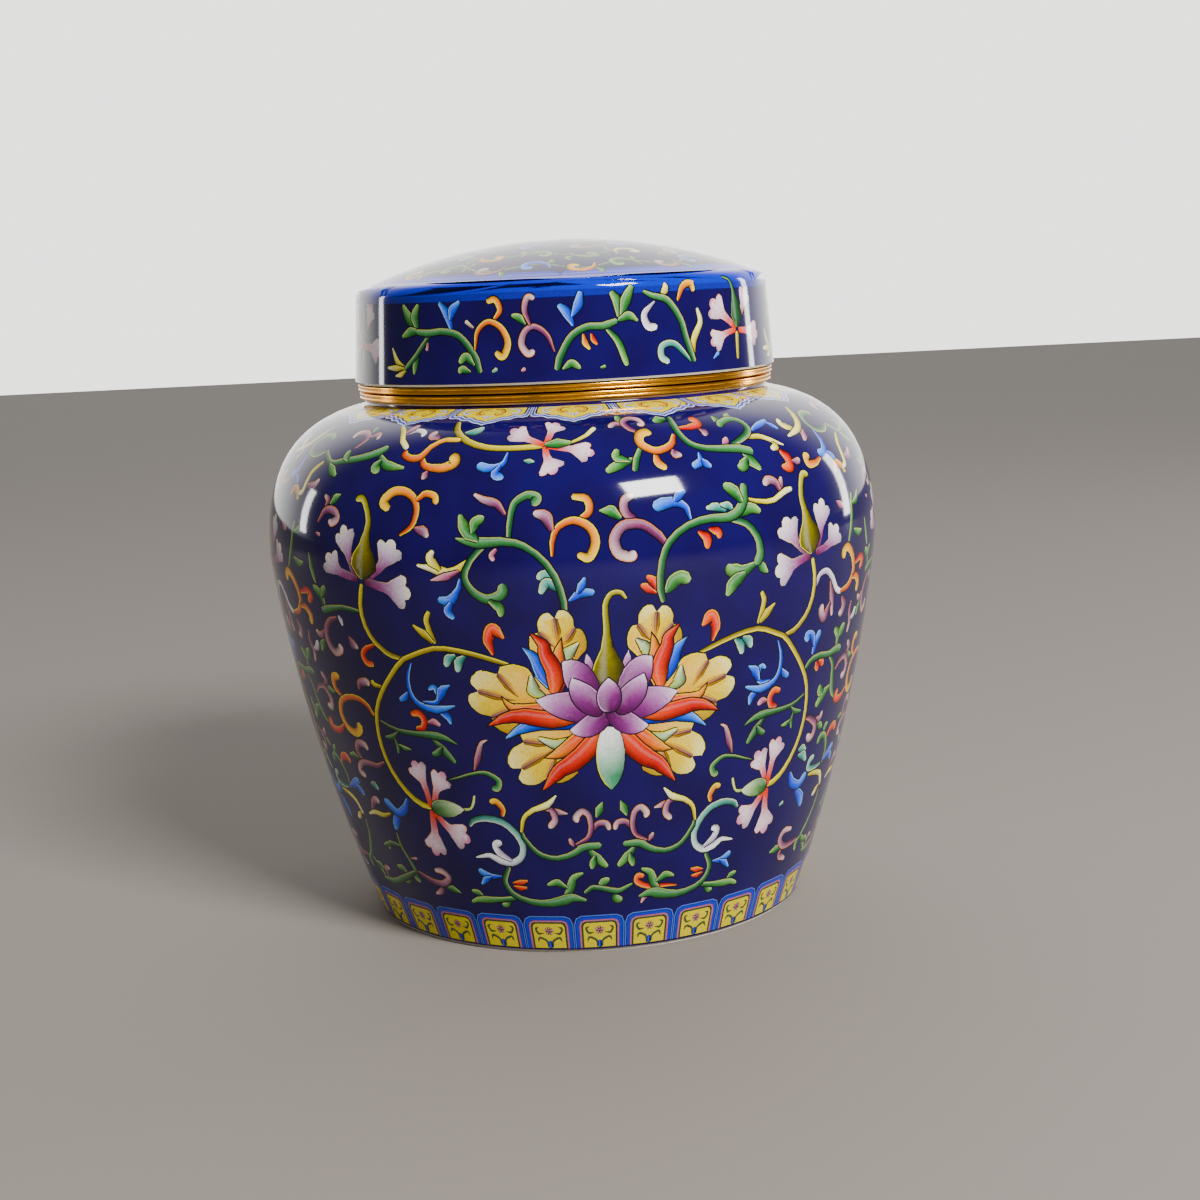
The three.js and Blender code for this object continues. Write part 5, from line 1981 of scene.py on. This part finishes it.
            self.side.petal(Ink.BLOSSOM, Cut.FLARE, width, placed)
        lay(Ink.DEEP_LEAF, (1.0, 2.2, 1.6, 0.7, 0.5, 0.5), 52.2, 10, 52.5, 13.4, 52, 18, 50.5, 21.2,
            47.4, 22.2)

    def dome_sprays(self) -> None:
        """Lays the dome's vines with their curls and leaves, ring by ring."""
        # The paler cobalt ring at the dome's edge is partly a paler glaze and partly painted light from
        # above, with a painted reflection.
        circle = [self.on_dome(turn, self.dome_edge - 1.0) for turn in range(0, 361, 5)]
        self.dome.stroke(Ink.PALE_COBALT_AND_SHEEN, circle, (2.4,))
        inks = (Ink.ORANGE, Ink.LEAF, Ink.MAUVE, Ink.BLUE, Ink.LEAF, Ink.CREAM, Ink.PINK,
                Ink.LEAF, Ink.RED, Ink.TEAL)
        number = 0
        for ring, (radius, count) in enumerate(((41.0, 24), (32.0, 18), (23.0, 12), (13.0, 6))):
            wave = [self.on_dome(turn, radius + 1.8 * math.sin(math.radians(turn * count / 2)))
                    for turn in range(0, 361, 3)]
            self.dome.stroke(Ink.VINE, wave, (0.6,))
            for step in range(count):
                side = -1 if step % 2 else 1
                middle = (step + 0.5) * 360 / count
                self.dome_curl(inks[number % len(inks)], middle, radius, side, ring % 2 == 0)
                number += 1

    def dome_curl(self, ink: Ink, turn: float, radius: float, side: int, leafy: bool) -> None:
        """Lays one curl of the dome with a small leaf beside it.

        Args:
            ink: Its enamel.
            turn: Degrees around the dome.
            radius: Distance from the axis in mm.
            side: 1 outwards from the vine, -1 inwards.
            leafy: True to turn the curl the other way.
        """
        way = -1 if leafy else 1
        curl = [(-3.2, -1.4), (-2.2, 1.6), (0.4, 3.2), (2.8, 2.2), (2.6, -0.2), (0.8, 0.2)]
        leaf = [(-2.4, 1.6), (-3.6, 3.2), (-3.4, 5.0)]
        for enamel, half, points in ((ink, (0.5, 0.9, 1.0, 1.1), curl),
                                     (Ink.LEAF, (0.5, 1.0, 0.5), leaf)):
            placed = [self.on_dome(turn + math.degrees(way * x / radius), radius + side * y)
                      for x, y in points]
            self.dome.stroke(enamel, placed, half)

    @staticmethod
    def on_dome(turn: float, radius: float) -> tuple[float, float]:
        """Gives the place on the dome's canvas at an angle and a distance from the axis."""
        angle = math.radians(turn)
        return (radius * math.sin(angle), -radius * math.cos(angle))

    def side_skin(self) -> Skin:
        """Wraps the side's repeat around the lid.

        Returns:
            The skin of the side.
        """
        low = float(self.outline.run[0])
        left = self.side.start
        sheet = self.side.cut(
            *grid(left, left + self.side.wrap, low, self.dome_run, TILE_SEGMENTS)
        )
        radius, height = self.outline.at(sheet.spots[:, 1])
        return wrapped(sheet, sheet.spots[:, 0] / self.mm_per_degree, radius, height)

    def dome_skin(self) -> Skin:
        """Lays the dome's canvas over the dome.

        Returns:
            The skin of the dome.
        """
        turn = np.radians(SEAM_ANGLE) + np.arange(SEGMENTS) * math.tau / SEGMENTS
        border = self.dome_edge * np.column_stack([np.sin(turn), -np.cos(turn)])
        inside = [(0.0, 0.0)]
        rings = round(self.dome_edge / GRID_STEP)
        for ring in range(1, rings):
            radius = self.dome_edge * ring / rings
            count = 6 * ring
            turns = np.arange(count) * math.tau / count + 0.1 * ring
            inside += list(zip(radius * np.sin(turns), -radius * np.cos(turns)))
        sheet = self.dome.cut(border, np.array(inside))
        reach = np.hypot(sheet.spots[:, 0], sheet.spots[:, 1])
        dome = self.outline.run >= self.dome_run - 1e-9
        height = np.interp(reach, self.outline.radius[dome][::-1], self.outline.height[dome][::-1])
        return Skin(np.column_stack([sheet.spots, height]) * MM, sheet.faces, sheet.looks)


@dataclass
class Lid:
    """The drum lid with its low dome: sizes in mm."""

    bottom: float = 133.9
    radius: float = 52.7
    top_radius: float = 51.4
    side_height: float = 23.7
    edge_bevel: float = 0.5
    corner: float = 3.6
    dome_rise: float = 9.4
    dome_step: float = 0.02
    wall: float = 4.0

    def dome(self, rim: float, base: float, steps: int) -> np.ndarray:
        """Draws a round cap from its rim to the axis.

        Args:
            rim: Radius of the rim in mm.
            base: Height of the rim in mm.
            steps: Number of equal steps.

        Returns:
            Radius and height points in mm.
        """
        sphere = (rim ** 2 + self.dome_rise ** 2) / (2 * self.dome_rise)
        turn = math.asin(rim / sphere) * (1 - np.linspace(0, 1, steps + 1))
        middle = base + self.dome_rise - sphere
        return np.column_stack([sphere * np.sin(turn), middle + sphere * np.cos(turn)])

    def outline(self) -> tuple[Outline, float]:
        """Gives the outside above the lower edge, and where along it the dome begins.

        Returns:
            The outline, and the run in mm at the dome's rim.
        """
        top = self.bottom + self.side_height
        edge = self.top_radius - self.corner
        dome_base = top + self.dome_step
        side = np.linspace((self.radius, self.bottom + self.edge_bevel),
                           (self.top_radius, top - self.corner), 8)
        corner = bezier([side[-1], (self.top_radius, top), (edge, dome_base)], 12)
        dome = self.dome(edge, dome_base, 60)
        whole = Outline.through(np.vstack([side, corner[1:], dome[1:]]), self.edge_bevel)
        return whole, float(whole.run[len(side) + len(corner) - 2])

    def inside(self) -> np.ndarray:
        """Draws the hollow from the axis down to the lower edge and out to the side.

        Returns:
            Radius and height points in mm.
        """
        top = self.bottom + self.side_height - self.wall
        edge = self.top_radius - self.wall - self.corner
        inner = self.top_radius - self.wall
        corner = bezier([(inner, top - self.corner), (inner, top), (edge, top)], 5)
        hollow = self.dome(edge, top, 12)
        return np.vstack([
            hollow[::-1], corner[::-1][1:], [(self.radius - self.wall, self.bottom),
                                            (self.radius - self.edge_bevel, self.bottom),
                                            (self.radius, self.bottom + self.edge_bevel)]])

    def build(self) -> bpy.types.Object:
        """Builds the painted side and dome and closes them with the hollow.

        Returns:
            The finished lid.
        """
        outline, dome_run = self.outline()
        scroll = LidScroll(outline, self.top_radius - self.corner, dome_run)
        scroll.paint()
        finish = PaintedPorcelain().material()
        side = skinned("lid_porcelain", scroll.side_skin())
        top = skinned("lid_dome", scroll.dome_skin())
        side.data.materials.append(finish)
        top.data.materials.append(finish)
        unrolled(side, (0.0, 0.0, 1.0, 0.16), self.bottom, self.bottom + self.side_height + 0.1)
        self.flattened(top, (0.02, 0.2, 0.62, 0.8))
        inside = turned("lid_inside", self.inside())
        inside.data.materials.append(WHITE_GLAZE.material())
        along_profile(inside, self.inside(), (0.64, 0.2, 1.0, 0.98))
        activate(side, top)
        bpy.ops.object.join()
        piece = joined("lid_porcelain", side, inside, outline)
        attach(piece, "root")
        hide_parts("lid")
        return piece

    def flattened(self, piece: bpy.types.Object, area: tuple[float, float, float, float]) -> None:
        """Lays the dome flat in an area of the bake map.

        Args:
            piece: The dome.
            area: Left, lower, right and upper bounds in the map.
        """
        layer = piece.data.uv_layers.new(name="OFBake")
        reach = self.top_radius * MM
        for loop in piece.data.loops:
            place = piece.data.vertices[loop.vertex_index].co
            layer.data[loop.index].uv = (
                area[0] + (area[2] - area[0]) * (place.x / reach + 1) / 2,
                area[1] + (area[3] - area[1]) * (place.y / reach + 1) / 2,
            )


@dataclass
class Softbox:
    """A lamp panel: where it stands, what it faces, its sides and its power."""

    name: str
    place: tuple[float, float, float]
    facing: tuple[float, float, float]
    size: tuple[float, float]
    power: float

    @classmethod
    def aimed(cls, name: str, turn: float, rise: float, reach: float,
              size: tuple[float, float], power: float) -> "Softbox":
        """Places a lamp by its direction from the belly, which it faces.

        Args:
            name: Name of the lamp.
            turn: Degrees to the right of the viewer.
            rise: Degrees above the level.
            reach: Distance in metres.
            size: Width and height in metres.
            power: Power in watts.

        Returns:
            The lamp, not yet hung.
        """
        middle = Vector((0.0, 0.0, 0.09))
        turn, rise = math.radians(turn), math.radians(rise)
        way = Vector((math.sin(turn) * math.cos(rise), -math.cos(turn) * math.cos(rise),
                      math.sin(rise)))
        return cls(name, tuple(middle + reach * way), tuple(middle), size, power)

    def build(self) -> bpy.types.Object:
        """Hangs the lamp.

        Returns:
            The lamp.
        """
        light = bpy.data.lights.new(self.name, "AREA")
        light.shape = "RECTANGLE"
        light.size, light.size_y = self.size
        light.energy = self.power
        lamp = bpy.data.objects.new(self.name, light)
        lamp.location = self.place
        way = Vector(self.facing) - Vector(self.place)
        lamp.rotation_mode = "QUATERNION"
        lamp.rotation_quaternion = way.to_track_quat("-Z", "Y")
        bpy.context.scene.collection.objects.link(lamp)
        return lamp


@dataclass
class Studio:
    """The pale floor, the soft light and the camera."""

    camera_place: tuple[float, float, float] = (0.0, -0.4931, 0.1571)
    lens: float = 58.08
    pitch: float = 9.45
    roll: float = 2.74
    yaw: float = 0.71
    air: str = "#fbf9f6"
    front_glow: float = 0.17
    back_glow: float = 2.6
    # Where the room goes over from dim to pale, as shares of the way to its far side.
    glow_from: float = 0.3
    glow_to: float = 0.85

    def floor(self) -> None:
        """Lays the floor."""
        settle()
        bpy.ops.mesh.primitive_plane_add(size=6.0, location=(0, 0, 0))
        board = bpy.context.object
        board.name = "studio_floor"
        board.data.materials.append(FLOOR.material())

    def light(self) -> None:
        """Hangs the soft lamps and fills the room, pale behind the jar and dim before it."""
        for lamp in self.lamps():
            lamp.build()
        world = bpy.data.worlds.new("soft_room")
        world.use_nodes = True
        tree = world.node_tree
        background = tree.nodes["Background"]
        background.inputs["Color"].default_value = opaque(self.air)
        way = add(tree, "ShaderNodeTexCoord").outputs["Generated"]
        parts = add(tree, "ShaderNodeSeparateXYZ", inputs={0: way})
        glow = add(tree, "ShaderNodeMapRange", {"interpolation_type": "SMOOTHSTEP"}, {
            "Value": parts.outputs["Y"], "From Min": self.glow_from, "From Max": self.glow_to,
            "To Min": self.front_glow, "To Max": self.back_glow})
        tree.links.new(glow.outputs["Result"], background.inputs["Strength"])
        bpy.context.scene.world = world

    def lamps(self) -> list[Softbox]:
        """Lists the lamp panels, which stand in for the windows of the room.

        Returns:
            The lamps, not yet hung.
        """
        return [
            Softbox.aimed("window_front_right", turn=33, rise=35, reach=1.2, size=(0.4, 0.26),
                          power=30),
            Softbox.aimed("window_right", turn=119.5, rise=8, reach=1.1, size=(0.1, 0.42),
                          power=2.6),
            Softbox.aimed("window_left", turn=-115, rise=8, reach=1.1, size=(0.085, 0.3),
                          power=1.3),
        ]

    def camera(self) -> None:
        """Sets the camera at the photograph's viewing angle."""
        pitch, roll, yaw = (math.radians(turn) for turn in (self.pitch, self.roll, self.yaw))
        ahead = Vector((math.sin(yaw) * math.cos(pitch), math.cos(yaw) * math.cos(pitch),
                        -math.sin(pitch)))
        right = Vector((math.cos(yaw), -math.sin(yaw), 0))
        above = right.cross(ahead)
        side = math.cos(roll) * right - math.sin(roll) * above
        top = math.sin(roll) * right + math.cos(roll) * above
        lens = bpy.data.cameras.new("photo_view")
        lens.lens = self.lens
        lens.sensor_width = 36
        camera = bpy.data.objects.new("photo_view", lens)
        turn = Matrix((side, top, -ahead)).transposed()
        camera.matrix_world = Matrix.Translation(self.camera_place) @ turn.to_4x4()
        bpy.context.scene.collection.objects.link(camera)
        bpy.context.scene.camera = camera


def report(piece: bpy.types.Object) -> None:
    """Logs a finished piece with its number of faces."""
    log.info("%s: %d faces", piece.name, len(piece.data.polygons))


def main() -> None:
    """Builds and dresses the pieces from the foot up, then sets the studio."""
    logging.basicConfig(level=logging.INFO, format="%(name)s %(message)s")
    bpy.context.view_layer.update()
    brass = GILT_BRASS.material()
    report(JarBody().build())
    report(RimRing("mouth_ring", bottom=130.0, height=1.7, radius=51.8, sleeve_outer=45.2,
                   sleeve_inner=44.4).build(brass))
    report(RimRing("lid_ring", bottom=132.0, height=1.6, radius=52.1, sleeve_outer=43.9,
                   sleeve_inner=43.1).build(brass))
    report(Lid().build())
    studio = Studio()
    studio.floor()
    studio.light()
    studio.camera()


if __name__ == "__main__":
    main()
